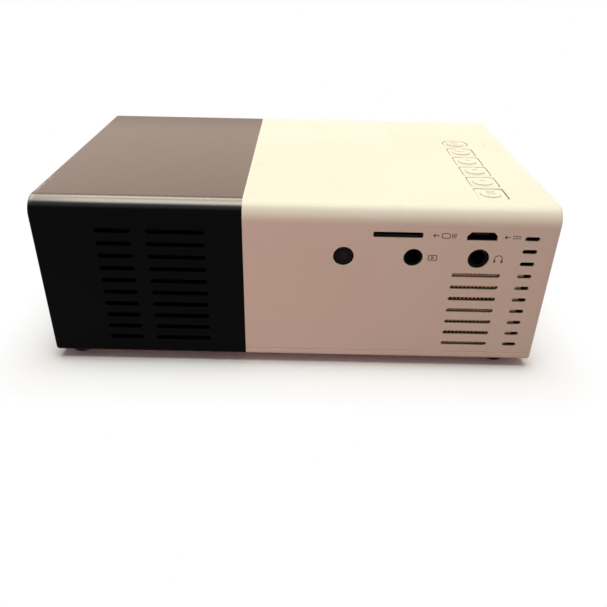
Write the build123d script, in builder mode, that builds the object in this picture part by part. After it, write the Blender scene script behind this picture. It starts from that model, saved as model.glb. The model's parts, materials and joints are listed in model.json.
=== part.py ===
"""A pocket projector: a pale box with a dark lens end, built the way it comes apart on a bench.

Millimetres, +Z up. The origin is on the table, under the middle of the case. The lens looks along -Y,
the dark end is at +X, and the face with the sockets and the remote-control window is at +Y.
"""

import os
from math import cos, radians, sin

from build123d import *

os.makedirs("parts", exist_ok=True)

# Case
case_length = 126.0
case_depth = 86.0
case_height = 41.9
wall = 2.0
edge_radius = 4.4
end_edge_radius = 0.6
dark_length = 50.5
base_thickness = 2.0
base_edge_radius = 0.8
light_seam_rise = 2.1
seam_chamfer = 0.3
lip_thickness = 1.2
lip_rise = 1.5
tongue_length = 2.0
tongue_thickness = 0.9
fit_gap = 0.1

# Feet, case screws and tripod insert
foot_height = 2.4
foot_radius = 2.8
foot_recess = 0.5
foot_edge_radius = 0.5
light_corner_inset = 8.3
dark_corner_inset = 5.3
corner_inset_y = 5.5
middle_screw_inset = 8.5
boss_radius = 2.4
boss_rise = 23.9
boss_web = 1.8
screw_radius = 1.2
screw_head_radius = 2.2
screw_head_height = 0.8
screw_length = 12.0
screw_slot_width = 0.6
screw_slot_depth = 0.4
screw_gap = 0.1
screw_floor = 0.6
tripod_x = -6.0
tripod_y = -24.0
tripod_bore_radius = 2.6
tripod_bore_depth = 5.2
tripod_insert_radius = 4.4
tripod_insert_length = 6.0
tripod_flange_radius = 5.6
tripod_flange_height = 0.8
tripod_socket_wall = 1.6

# Cooling slots, in rows that run round the case, counted up from the lowest
slot_height = 1.15
slot_first_rise = 4.65
slot_last_drop = 7.46
slot_rows = 10
slot_wall = 1.1
slot_recess_lap = 0.9
slot_recess_side = 0.7
speaker_slot_rows = 7
speaker_slot_length = 12.0
speaker_slot_inset = 18.25
corner_slot_length = 3.6
corner_slot_inset = 6.3
dark_narrow_slot_length = 8.6
dark_narrow_slot_inset = 19.4
dark_wide_slot_length = 14.1
dark_wide_slot_inset = 34.35
fan_slot_rows = 8
fan_slot_length = 11.0
fan_slot_gap = 2.6
dark_end_slot_length = 16.0
dark_end_slot_gap = 4.0

# Openings in the rear face: down from the top, and out from the middle (u) or in from the pale end (inset)
upper_port_drop = 7.05
lower_port_drop = 12.9
window_u = 11.9
window_hole_radius = 2.52
av_u = 28.8
av_hole_radius = 2.35
headphone_inset = 18.35
headphone_hole_radius = 2.6
card_u = 24.65
card_slot_width = 11.9
card_slot_height = 1.5
card_slot_corner = 0.4
power_inset = 18.3
power_hole_width = 7.3
power_hole_height = 2.25
power_hole_chamfer = 1.0

# Circuit board, hung under posts in the pale shell
board_thickness = 1.6
board_edge_gap = 0.6
board_seam_gap = 15.0
board_drop = 1.4
post_radius = 2.2
post_inset_y = 5.5
post_right_inset = 3.5
post_left_inset = 2.9
front_post_inset = 16.4
small_screw_radius = 0.9
small_screw_head_radius = 1.7
small_screw_head_height = 0.9
small_screw_length = 5.0

# Sockets
jack_bore_radius = 1.8
jack_bore_length = 12.0
jack_width = 6.4
jack_length = 14.0
jack_below_axis = 2.8
jack_nozzle_gap = 0.2
jack_nozzle_inset = 0.7
socket_metal = 0.4
socket_gap = 0.3
socket_recess = 0.5
socket_back = 1.5
socket_corner = 0.6
video_width = 15.0
video_height = 5.6
video_length = 12.0
video_inset = 26.0
video_chamfer = 1.4
video_tongue = 1.0
data_width = 13.2
data_height = 5.8
data_length = 14.0
data_inset = 10.5
data_tongue = 1.8
tongue_side_gap = 1.2
power_width = 7.7
power_height = 2.7
power_length = 4.7
power_tongue = 0.7
power_metal = 0.35
card_width = 14.2
card_height = 2.2
card_length = 14.6
card_mouth_width = 11.4
card_mouth_height = 0.9
card_mouth_length = 12.5
window_lip_radius = 2.8
window_lip_depth = 0.8
window_inset = 0.35
window_dome = 0.3
receiver_width = 5.6
receiver_depth = 3.4
receiver_height = 5.2
receiver_eye_radius = 1.7
receiver_eye_depth = 0.7

# Keys
key_names = ("menu", "left", "play", "right", "back")
key_end_inset = 15.0
key_first_inset = 10.25
key_pitch = 8.9
key_window = 7.5
key_gap = 0.25
key_corner = 0.7
key_flange = 0.45
key_flange_height = 0.9
key_stop_gap = 0.12
key_inset = 0.05
key_disc_radius = 2.7
key_disc_height = 0.35
key_mark_depth = 0.15
key_mark_size = 1.1
key_travel = 0.5
power_key_radius = 3.6
slack_key_shift = 0.12
peg_radius = 1.6
switch_size = 6.0
switch_height = 3.5
switch_well_depth = 2.0
plunger_gap = 0.1
plunger_rise = 0.75
lamp_end_inset = 6.1
lamp_inset = 54.05
lamp_radius = 0.55
lamp_gap = 0.05
lamp_collar_radius = 1.1
lamp_collar_height = 1.0
lamp_chip_size = 1.6
lamp_chip_height = 0.7

# Parts soldered on the board, placed from the case's middle or in from the board's front or rear edge
main_chip_size = 14.0
main_chip_height = 1.2
main_chip_place = (-24.0, -12.0)
flat_chip_height = 1.0
memory_chip_size = (12.0, 8.0)
memory_chip_place = (-24.0, 3.0)
front_chip_size = (6.0, 5.0)
front_chip_x = -33.5
front_chip_inset = 7.4
small_chip_size = (5.0, 4.0)
small_chip_x = -15.5
small_chip_front_inset = 12.4
small_chip_rear_inset = 19.9
coil_size = 6.0
coil_corner = 1.2
coil_height = 2.8
coil_places_y = (-20.0, 8.0)
can_radius = 2.5
can_height = 4.4
front_cans_x = -25.0
front_can_insets = (3.9, 11.4)
rear_cans = ((-15.0, 7.9), (-14.5, 13.5))
strip_size = (1.6, 0.8)
strip_height = 0.7
strip_pitch = (2.6, 3.4)
strip_rows = 4
strips_place = (-13.0, -14.0)

# Light engine: lamp, plates, mirror and lens, with the light turned square by the mirror
axis_drop = 2.05
mirror_y = 9.0
engine_lamp_reach = 34.75
engine_end_reach = 19.35
engine_wall = 1.6
plate_width = 39.5
plate_case_gap = 13.6
picture_width = 34.0
picture_edge = 3.9
plate_gap = 0.15
rib_length = 2.0
rib_reach = 1.9
heat_glass_thickness = 1.1
panel_thickness = 2.6
panel_glass = 0.9
ribbed_plate_thickness = 1.6
mirror_width = 38.0
mirror_thickness = 1.8
lid_thickness = 1.6
lid_slot_width = 18.0
ear_radius = 2.8
ear_thickness = 2.6
ear_reach = 3.2
rear_ears_reach = (-23.75, 8.25)
front_ears_reach = (-25.75,)
funnel_wall = 1.2
funnel_straight = 6.0
funnel_throat = 6.4
funnel_flange = 1.5
funnel_rim = 2.0
condenser_radius = 7.6
condenser_edge = 1.6
condenser_rise = 3.2
condenser_dome_radius = 6.2
lamp_board_margin = 5.0
lamp_board_thickness = 1.6
lamp_board_corner = 1.0
emitter_radius = 4.5
emitter_thickness = 0.6
sink_board_gap = 0.45
sink_base = 3.0
sink_fin_length = 23.0
sink_fins = 9
sink_fin_thickness = 0.9
sink_corner = 5.0
sink_rest_width = 2.0
sink_rest_length = 16.0
sink_rest_inset = 4.0

# Fan
fan_depth = 9.6
fan_wall_gap = 1.2
fan_bore_wall = 0.7
fan_tip_gap = 0.5
fan_hub_radius = 6.0
fan_hub_depth = 6.6
fan_hub_wall = 0.8
fan_blades = 7
fan_blade_thickness = 0.8
fan_blade_width = 7.0
fan_blade_angle = 38.0
fan_motor_radius = 5.7
fan_motor_depth = 1.8
fan_struts = 4
fan_strut_width = 1.6
fan_shaft_radius = 0.9
fan_bearing_radius = 2.2
fan_bearing_gap = 0.05
fan_running_gap = 0.4
fan_corner_radius = 2.0
fan_screw_inset = 2.5
fan_screw_bite = 4.0

# Lens and its turning mount
lens_opening_rise = 3.0
lens_opening_chamfer = 1.2
lens_well_wall = 0.8
lens_well_gap = 0.2
barrel_opening_gap = 4.0
barrel_wall = 1.8
barrel_gap = 0.2
barrel_length = 25.5
barrel_front_inset = 1.85
grip_opening_gap = 1.4
grip_length = 4.0
grip_ribs = 48
grip_rib_radius = 0.45
front_window_edge = 1.6
front_lip = 2.2
front_flare = 1.2
mount_wall = 2.0
mount_front_gap = 0.5
mount_flange_gap = 0.5
mount_flange_thickness = 2.0
mount_screw_inset = 3.6
mount_boss_radius = 2.0
mount_collar_lap = 0.2
mount_collar_thickness = 1.0
mount_boss_length = 3.0
focus_lead = 15.0
focus_turn = 60.0
groove_spare_turn = 12.0
groove_width = 2.2
groove_depth = 0.9
groove_overcut = 0.2
pin_count = 3
pin_radius = 0.9
pin_inset = 15.0
pin_hole_overcut = 1.0
element_gap = 0.15
element_edge = 2.0
front_dome_edge = 1.8
front_bulge = 2.2
rear_dome_edge = 1.2
rear_bulge = 1.4
middle_edge = 3.0
middle_dish_edge = 1.6
middle_dish = 0.9
spacer_length = 3.6
spacer_wall = 1.0
ring_length = 2.0
ring_wall = 1.6

# Speaker
speaker_width = 14.6
speaker_base_rise = 3.95
speaker_jack_gap = 0.25
speaker_corner = 6.0
speaker_depth = 3.4
speaker_rim = 1.3
speaker_floor = 0.8
cone_thickness = 0.4
cone_gap = 0.15
cone_dome_radius = 2.8
magnet_depth = 2.6
magnet_width = 9.0
magnet_margin = 3.0
magnet_corner = 2.0
mesh_thickness = 0.3
mesh_width = 14.0
mesh_lap = 0.75
mesh_pitch = 1.0
mesh_hole = 0.7
rail_width = 1.2
rail_reach = 4.6
rail_gap = 0.15
rail_end_gap = 2.0

# Wires
wire_radius = 0.5
wire_bend = 1.4
wire_lead = 2.5
wire_side_step = 6.0
wire_magnet_inset = 1.0
ribbon_thickness = 0.3
ribbon_width = 16.0
ribbon_bend = 1.2
ribbon_rise = 1.5
ribbon_edge_gap = 1.0
ribbon_socket_length = 4.0
ribbon_socket_height = 1.6
ribbon_socket_margin = 1.0

# Places that follow from the sizes above
left_end = -case_length / 2
right_end = case_length / 2
front_face = -case_depth / 2
rear_face = case_depth / 2
base_z = foot_height
top_z = base_z + case_height
floor_z = base_z + base_thickness
ceiling_z = top_z - wall
seam_x = right_end - dark_length
light_seam_z = base_z + light_seam_rise
lip_inset = wall + fit_gap
lip_top = light_seam_z + lip_rise
upper_port_z = top_z - upper_port_drop
lower_port_z = top_z - lower_port_drop
headphone_u = -left_end - headphone_inset
power_u = -left_end - power_inset
speaker_slot_u = -left_end - speaker_slot_inset
corner_slot_u = -left_end - corner_slot_inset
dark_narrow_slot_u = dark_narrow_slot_inset - right_end
dark_wide_slot_u = dark_wide_slot_inset - right_end
video_y = front_face + video_inset
data_y = front_face + data_inset
board_top = upper_port_z - board_drop
board_bottom = board_top - board_thickness
board_left_x = left_end + wall + board_edge_gap
board_right_x = seam_x - board_seam_gap
board_half_depth = case_depth / 2 - wall - board_edge_gap
axis_z = (base_z + top_z) / 2 - axis_drop
lens_x = seam_x + dark_length / 2
key_x = left_end + key_end_inset
key_first_y = rear_face - key_first_inset
power_key_y = key_first_y - len(key_names) * key_pitch
lamp_x = left_end + lamp_end_inset
lamp_y = rear_face - lamp_inset
key_flange_top = ceiling_z - key_stop_gap
key_flange_bottom = key_flange_top - key_flange_height
switch_top = board_top + switch_height
plunger_top = switch_top + plunger_rise
screw_seat_z = floor_z - screw_floor
light_corner_x = left_end + light_corner_inset
dark_corner_x = right_end - dark_corner_inset
corner_y = case_depth / 2 - corner_inset_y
middle_screw_x = seam_x - middle_screw_inset
foot_places = [(x, side * corner_y) for x in (light_corner_x, dark_corner_x) for side in (-1, 1)]
boss_places = foot_places + [(middle_screw_x, corner_y), (middle_screw_x, -corner_y)]
boss_bottom = floor_z + fit_gap
post_y = case_depth / 2 - post_inset_y
right_post_x = board_right_x - post_right_inset
post_places = [(right_post_x, post_y), (board_left_x + post_left_inset, post_y)]
post_places += [(right_post_x, -post_y), (board_left_x + front_post_inset, -post_y)]
small_bore_radius = small_screw_radius + screw_gap / 2
small_hole_radius = small_screw_radius + screw_gap
post_bore_length = small_screw_length - board_thickness + screw_gap
slot_pitch = (case_height - slot_first_rise - slot_last_drop) / (slot_rows - 1)
slot_zs = [base_z + slot_first_rise + row * slot_pitch for row in range(slot_rows)]
speaker_bottom = base_z + speaker_base_rise
speaker_height = lower_port_z - jack_below_axis - speaker_jack_gap - speaker_bottom
speaker_z = speaker_bottom + speaker_height / 2
seat_low = (Align.CENTER, Align.CENTER, Align.MIN)

# Along the light's path, from the lamp at -X to the mirror
sink_size = 2 * (board_bottom - sink_board_gap - axis_z)
fan_size = sink_size
fan_bore_radius = fan_size / 2 - fan_bore_wall
fan_tip_radius = fan_bore_radius - fan_tip_gap
lamp_board_size = sink_size - lamp_board_margin
plate_height = case_height - plate_case_gap
picture_height = plate_height - picture_edge
engine_left = lens_x - engine_lamp_reach
engine_right = lens_x + engine_end_reach
fan_left = left_end + wall + fan_wall_gap
sink_left = fan_left + fan_depth
lamp_board_left = sink_left + sink_fin_length + sink_base
lamp_face = lamp_board_left + lamp_board_thickness
funnel_step = lamp_face + funnel_straight
slot_spans = [
    heat_glass_thickness + 2 * plate_gap,
    ribbed_plate_thickness + 2 * plate_gap,
    panel_thickness + 2 * plate_gap,
    ribbed_plate_thickness + 2 * plate_gap,
]
slot_starts = [engine_left + engine_wall]
for span in slot_spans[:-1]:
    slot_starts.append(slot_starts[-1] + span + rib_length)
divider_left = slot_starts[-1] + slot_spans[-1]
divider_right = divider_left + engine_wall
engine_inner_front = mirror_y - plate_width / 2 - plate_gap
engine_inner_rear = mirror_y + plate_width / 2 + plate_gap
engine_front = engine_inner_front - engine_wall
engine_rear = engine_inner_rear + engine_wall
engine_floor = axis_z - plate_height / 2 - fit_gap
engine_bottom = engine_floor - engine_wall
engine_top = axis_z + plate_height / 2 + 2 * plate_gap
ear_bottom = engine_bottom
ear_seat = ear_bottom + ear_thickness
ear_places = [(lens_x + reach, engine_rear + ear_reach) for reach in rear_ears_reach]
ear_places += [(lens_x + reach, engine_front - ear_reach) for reach in front_ears_reach]

# Along the lens's axis, from the mirror box forward to the front face
lens_opening_radius = axis_z - base_z - lens_opening_rise
barrel_radius = lens_opening_radius - barrel_opening_gap
barrel_bore_radius = barrel_radius - barrel_wall
grip_radius = lens_opening_radius - grip_opening_gap
mount_radius = barrel_radius + barrel_gap + mount_wall
mount_collar_radius = lens_opening_radius + mount_collar_lap
mount_flange_size = 2 * (lens_opening_radius - mount_flange_gap)
front_window_radius = barrel_bore_radius - front_window_edge
front_dome_radius = barrel_bore_radius - front_dome_edge
rear_dome_radius = barrel_bore_radius - rear_dome_edge
middle_dish_radius = barrel_bore_radius - middle_dish_edge
flange_rear = engine_front
flange_front = flange_rear - mount_flange_thickness
barrel_front = front_face + barrel_front_inset
grip_rear = barrel_front + grip_length
focus_travel = focus_lead * focus_turn / 360
lens_well_rear = grip_rear + focus_travel / 2 - lens_well_gap
mount_front = grip_rear + focus_travel / 2 + mount_front_gap
pin_y = barrel_front + pin_inset
element_radius = barrel_bore_radius - element_gap
front_element_y = barrel_front + front_lip
first_spacer_y = front_element_y + element_edge
middle_element_y = first_spacer_y + spacer_length
second_spacer_y = middle_element_y + middle_edge
rear_element_y = second_spacer_y + spacer_length
ring_y = rear_element_y + element_edge

# The rear face is drawn as it is seen from behind, with its first axis to the right
rear_plane = Plane(origin=(0, rear_face, 0), x_dir=(-1, 0, 0), z_dir=(0, 1, 0))
light_end_plane = Plane(origin=(left_end, 0, 0), x_dir=(0, -1, 0), z_dir=(-1, 0, 0))
dark_end_plane = Plane(origin=(right_end, 0, 0), x_dir=(0, 1, 0), z_dir=(1, 0, 0))
lens_axis = Axis((lens_x, 0, axis_z), (0, 1, 0))


def keep(piece, name):
    """Labels a finished piece and writes it as its own STEP file."""
    piece.part.label = name
    export_step(piece.part, f"parts/{name}.step")


def rear_view(origin):
    """A plane at origin, parallel to the rear face and drawn as it is seen from behind."""
    return Plane(origin=origin, x_dir=(-1, 0, 0), z_dir=(0, 1, 0))


def lens_plane(y):
    """A plane across the lens's axis, whose extrusions run back from the front face."""
    return Plane(origin=(lens_x, y, axis_z), x_dir=(1, 0, 0), z_dir=(0, 1, 0))


def light_plane(x):
    """A plane across the light's path from the lamp, whose extrusions run on towards the mirror."""
    return Plane(origin=(x, mirror_y, axis_z), x_dir=(0, 1, 0), z_dir=(1, 0, 0))


def case_section(inset, low, mode=Mode.ADD):
    """The case's cross-section, inset from its skin, from the height low up to the rounded top edges."""
    half = case_depth / 2 - inset
    high = top_z - inset
    with BuildLine(Plane.XY) as outline:
        FilletPolyline((-half, low), (-half, high), (half, high), (half, low), radius=edge_radius - inset)
        Line((half, low), (-half, low))
    make_face(outline.edges(), mode=mode)


def slot_column(rows, length, middle):
    """A column of cooling slots on the plane of the sketch that calls it."""
    with Locations(*[(middle, z) for z in slot_zs[:rows]]):
        SlotOverall(length, slot_height)


def cover_bosses(places):
    """Screw bosses inside a shell, webbed to the nearest end, or to a long wall in the middle."""
    rise = base_z + boss_rise - boss_bottom
    web_bottom = lip_top + fit_gap
    for x, y in places:
        side_x = 1 if x > 0 else -1
        side_y = 1 if y > 0 else -1
        with Locations((x, y, boss_bottom)):
            Cylinder(boss_radius, rise, align=seat_low)
        if abs(x) < case_length / 4:
            reach = case_depth / 2 - wall / 2 - abs(y)
            web_middle = (x, y + side_y * reach / 2, web_bottom)
            web_size = (boss_web, reach)
        else:
            reach = case_length / 2 - wall / 2 - abs(x)
            web_middle = (x + side_x * reach / 2, y - side_y * (boss_radius - boss_web / 2), web_bottom)
            web_size = (reach, boss_web)
        with Locations(web_middle):
            Box(*web_size, base_z + boss_rise - web_bottom, align=seat_low)
        with Locations((x, y, boss_bottom)):
            Cylinder(screw_radius + screw_gap / 2, screw_length, align=seat_low, mode=Mode.SUBTRACT)


def round_outer_end(end_face, seam_z):
    """Takes the sharpness off the edges round one end of the case, down to its seam."""
    rim = end_face.outer_wire().edges().filter_by(lambda e: e.center().Z > seam_z + fit_gap)
    fillet(rim, radius=end_edge_radius)


def screw(seat, shank_radius, head_radius, head_height, length):
    """A pan-head screw with a cross slot, standing on the plane seat, with its shank along the normal."""
    with BuildSketch(seat) as profile:
        Circle(shank_radius)
    extrude(profile.sketch, amount=length)
    with BuildSketch(seat) as profile:
        Circle(head_radius)
    extrude(profile.sketch, amount=-head_height)
    with BuildSketch(seat.offset(-head_height)) as profile:
        Rectangle(head_radius * 1.3, screw_slot_width)
        Rectangle(screw_slot_width, head_radius * 1.3)
    extrude(profile.sketch, amount=screw_slot_depth, mode=Mode.SUBTRACT)


# Pale shell: the long part of the case, with the keys, the sockets and the speaker slots
with BuildPart() as light_shell:
    with BuildSketch(Plane.YZ.offset(left_end)):
        case_section(0, light_seam_z)
    extrude(amount=seam_x - left_end)
    round_outer_end(faces().sort_by(Axis.X)[0], light_seam_z)
    with BuildSketch(Plane.YZ.offset(left_end + wall)):
        case_section(wall, light_seam_z)
    extrude(amount=seam_x - left_end - wall, mode=Mode.SUBTRACT)
    with BuildSketch(Plane.YZ.offset(seam_x - tongue_length)):
        case_section(wall - tongue_thickness, lip_top + fit_gap)
        case_section(wall, lip_top + fit_gap, mode=Mode.SUBTRACT)
    extrude(amount=2 * tongue_length)
    cover_bosses([place for place in boss_places if place[0] < seam_x])
    for post in post_places:
        with Locations((*post, board_top)):
            Cylinder(post_radius, ceiling_z + wall / 2 - board_top, align=seat_low)
            Cylinder(small_bore_radius, post_bore_length, align=seat_low, mode=Mode.SUBTRACT)
    for side in (-1, 1):
        rail_x = -speaker_slot_u + side * (speaker_width / 2 + rail_gap + rail_width / 2)
        with Locations((rail_x, rear_face - wall - rail_reach / 2 + wall / 4, speaker_bottom)):
            Box(rail_width, rail_reach + wall / 2, speaker_height - rail_end_gap, align=seat_low)
    with BuildSketch(rear_plane.offset(-slot_wall)):
        with Locations((speaker_slot_u, speaker_z)):
            Rectangle(speaker_width + 2 * fit_gap, speaker_height + 2 * fit_gap)
        with Locations((corner_slot_u, (slot_zs[0] + slot_zs[-1]) / 2)):
            recess_height = slot_zs[-1] - slot_zs[0] + 2 * slot_recess_lap
            Rectangle(corner_slot_length + 2 * slot_recess_side, recess_height)
        recess_start_u = card_u - card_width / 2 - socket_gap
        recess_end_u = power_u + power_width / 2 + socket_gap
        with Locations(((recess_start_u + recess_end_u) / 2, board_top + power_height / 2)):
            Rectangle(recess_end_u - recess_start_u, power_height + 2 * socket_gap)
    extrude(amount=slot_wall - wall, mode=Mode.SUBTRACT)
    with BuildSketch(rear_plane):
        slot_column(speaker_slot_rows, speaker_slot_length, speaker_slot_u)
        slot_column(slot_rows, corner_slot_length, corner_slot_u)
        for port_u, port_radius in (
            (window_u, window_hole_radius),
            (av_u, av_hole_radius),
            (headphone_u, headphone_hole_radius),
        ):
            with Locations((port_u, lower_port_z)):
                Circle(port_radius)
        with Locations((card_u, upper_port_z)):
            RectangleRounded(card_slot_width, card_slot_height, card_slot_corner)
    extrude(amount=-wall, mode=Mode.SUBTRACT)
    with BuildSketch(rear_plane):
        with Locations((power_u, upper_port_z)):
            Rectangle(power_hole_width, power_hole_height)
        chamfer(vertices().group_by(Axis.Y)[-1], length=power_hole_chamfer)
    extrude(amount=-wall, mode=Mode.SUBTRACT)
    with BuildSketch(light_end_plane):
        for side in (-1, 1):
            fan_slot_middle = -mirror_y + side * (fan_slot_length + fan_slot_gap) / 2
            slot_column(fan_slot_rows, fan_slot_length, fan_slot_middle)
        for port_y, port_width, port_height in (
            (video_y, video_width, video_height),
            (data_y, data_width, data_height),
        ):
            with Locations((-port_y, board_bottom - port_height / 2)):
                RectangleRounded(port_width + 2 * socket_gap, port_height + 2 * socket_gap, socket_corner)
    extrude(amount=-wall, mode=Mode.SUBTRACT)
    with BuildSketch(Plane.XY.offset(ceiling_z)):
        for key in range(len(key_names)):
            with Locations((key_x, key_first_y - key * key_pitch)):
                RectangleRounded(key_window, key_window, key_corner)
        with Locations((key_x, power_key_y)):
            Circle(power_key_radius + key_gap)
        with Locations((lamp_x, lamp_y)):
            Circle(lamp_radius)
    extrude(amount=wall, mode=Mode.SUBTRACT)
keep(light_shell, "light_shell")

# Dark shell: the lens end of the case, down to the underside
with BuildPart() as dark_shell:
    with BuildSketch(Plane.YZ.offset(seam_x)):
        case_section(0, base_z)
    extrude(amount=dark_length)
    round_outer_end(faces().sort_by(Axis.X)[-1], base_z)
    low_rim = edges().group_by(Axis.Z)[0].filter_by(lambda e: e.center().X > seam_x + fit_gap)
    fillet(low_rim, radius=base_edge_radius)
    with BuildSketch(Plane.YZ.offset(seam_x)):
        case_section(wall, base_z)
    extrude(amount=dark_length - wall, mode=Mode.SUBTRACT)
    with BuildSketch(Plane.YZ.offset(seam_x)):
        case_section(wall - tongue_thickness - fit_gap, lip_top)
    extrude(amount=tongue_length + fit_gap, mode=Mode.SUBTRACT)
    cover_bosses([place for place in boss_places if place[0] > seam_x])
    with BuildSketch(rear_plane):
        slot_column(slot_rows, dark_narrow_slot_length, dark_narrow_slot_u)
        slot_column(slot_rows, dark_wide_slot_length, dark_wide_slot_u)
    extrude(amount=-wall, mode=Mode.SUBTRACT)
    with BuildSketch(dark_end_plane):
        for side in (-1, 1):
            end_slot_middle = side * (dark_end_slot_length + dark_end_slot_gap) / 2
            slot_column(slot_rows, dark_end_slot_length, end_slot_middle)
    extrude(amount=-wall, mode=Mode.SUBTRACT)
    with BuildSketch(Plane.XZ.offset(-front_face)):
        with Locations((lens_x, axis_z)):
            Circle(lens_opening_radius)
    extrude(amount=-wall, mode=Mode.SUBTRACT)
    with BuildSketch(Plane.XZ.offset(-front_face - wall / 2)):
        with Locations((lens_x, axis_z)):
            Circle(lens_opening_radius + lens_well_wall)
            Circle(lens_opening_radius, mode=Mode.SUBTRACT)
    extrude(amount=-(lens_well_rear - front_face - wall / 2))
    front_rim = faces().sort_by(Axis.Y)[0].edges().filter_by(GeomType.CIRCLE).sort_by(SortBy.LENGTH)[-1]
    chamfer(front_rim, length=lens_opening_chamfer)
keep(dark_shell, "dark_shell")

# Bottom cover: a tray under the pale shell and inside the dark one, with a lip that stands up inside both
with BuildPart() as bottom_cover:
    with BuildSketch(Plane.XY.offset(base_z)):
        with Locations(((left_end + seam_x) / 2, 0)):
            Rectangle(seam_x - left_end, case_depth)
    extrude(amount=light_seam_rise)
    fillet(edges().filter_by(Axis.Z).group_by(Axis.X)[0], radius=end_edge_radius)
    for layer, soften, size in ((-1, chamfer, seam_chamfer), (0, fillet, base_edge_radius)):
        rim = edges().group_by(Axis.Z)[layer].filter_by(lambda e: e.center().X < seam_x - fit_gap)
        soften(rim, size)
    with BuildSketch(Plane.XY.offset(base_z)):
        Rectangle(case_length - 2 * lip_inset, case_depth - 2 * lip_inset)
    extrude(amount=lip_top - base_z)
    with BuildSketch(Plane.XY.offset(floor_z)):
        tray_inset = lip_inset + lip_thickness
        Rectangle(case_length - 2 * tray_inset, case_depth - 2 * tray_inset)
    extrude(amount=lip_top - floor_z, mode=Mode.SUBTRACT)
    for boss in boss_places:
        with Locations((*boss, base_z)):
            Cylinder(screw_radius + screw_gap, base_thickness, align=seat_low, mode=Mode.SUBTRACT)
            Cylinder(screw_head_radius + screw_gap, screw_seat_z - base_z, align=seat_low, mode=Mode.SUBTRACT)
        with Locations((*boss, floor_z)):
            Cylinder(boss_radius + fit_gap, lip_top - floor_z, align=seat_low, mode=Mode.SUBTRACT)
    for foot in foot_places:
        with Locations((*foot, base_z)):
            Cylinder(foot_radius + fit_gap, foot_recess, align=seat_low, mode=Mode.SUBTRACT)
    with BuildSketch(lens_plane(front_face + wall)):
        Circle(lens_opening_radius + lens_well_wall + fit_gap)
    extrude(amount=lip_thickness + 2 * fit_gap, mode=Mode.SUBTRACT)
    with Locations((tripod_x, tripod_y, floor_z)):
        socket_radius = tripod_insert_radius + tripod_socket_wall
        Cylinder(socket_radius, tripod_insert_length - base_thickness, align=seat_low)
    with Locations((tripod_x, tripod_y, base_z)):
        insert_bore = tripod_insert_radius + screw_gap / 2
        Cylinder(insert_bore, tripod_insert_length, align=seat_low, mode=Mode.SUBTRACT)
        flange_bore = tripod_flange_radius + screw_gap / 2
        Cylinder(flange_bore, tripod_flange_height, align=seat_low, mode=Mode.SUBTRACT)
    for ear in ear_places:
        with Locations((*ear, floor_z)):
            Cylinder(ear_radius, ear_bottom - floor_z, align=seat_low)
        with Locations((*ear, ear_seat - small_screw_length - screw_gap)):
            Cylinder(small_bore_radius, small_screw_length, align=seat_low, mode=Mode.SUBTRACT)
    for rest_x in (sink_left + sink_rest_inset, lamp_board_left - sink_rest_inset):
        with Locations((rest_x, mirror_y, floor_z)):
            Box(sink_rest_width, sink_rest_length, axis_z - sink_size / 2 - floor_z, align=seat_low)
keep(bottom_cover, "bottom_cover")

# Rubber feet, one over each corner screw
with BuildPart() as rubber_feet:
    for foot in foot_places:
        with Locations((*foot, 0)):
            Cylinder(foot_radius, base_z + foot_recess, align=seat_low)
    fillet(edges().group_by(Axis.Z)[0], radius=foot_edge_radius)
keep(rubber_feet, "rubber_feet")

# Case screws, up through the cover into the shells' bosses
with BuildPart() as case_screws:
    for boss in boss_places:
        seat = Plane.XY.offset(screw_seat_z).move(Location((*boss, 0)))
        screw(seat, screw_radius, screw_head_radius, screw_head_height, screw_length)
keep(case_screws, "case_screws")

# Tripod insert: a blind brass nut pressed into the cover
with BuildPart() as tripod_insert:
    with Locations((tripod_x, tripod_y, base_z)):
        Cylinder(tripod_insert_radius, tripod_insert_length, align=seat_low)
        Cylinder(tripod_flange_radius, tripod_flange_height, align=seat_low)
        Cylinder(tripod_bore_radius, tripod_bore_depth, align=seat_low, mode=Mode.SUBTRACT)
keep(tripod_insert, "tripod_insert")

# Main board, held up under its posts
with BuildPart() as main_board:
    with BuildSketch(Plane.XY.offset(board_bottom)):
        with Locations(((board_left_x + board_right_x) / 2, 0)):
            Rectangle(board_right_x - board_left_x, 2 * board_half_depth)
        with Locations(*post_places):
            Circle(small_hole_radius, mode=Mode.SUBTRACT)
    extrude(amount=board_thickness)
keep(main_board, "main_board")

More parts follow.
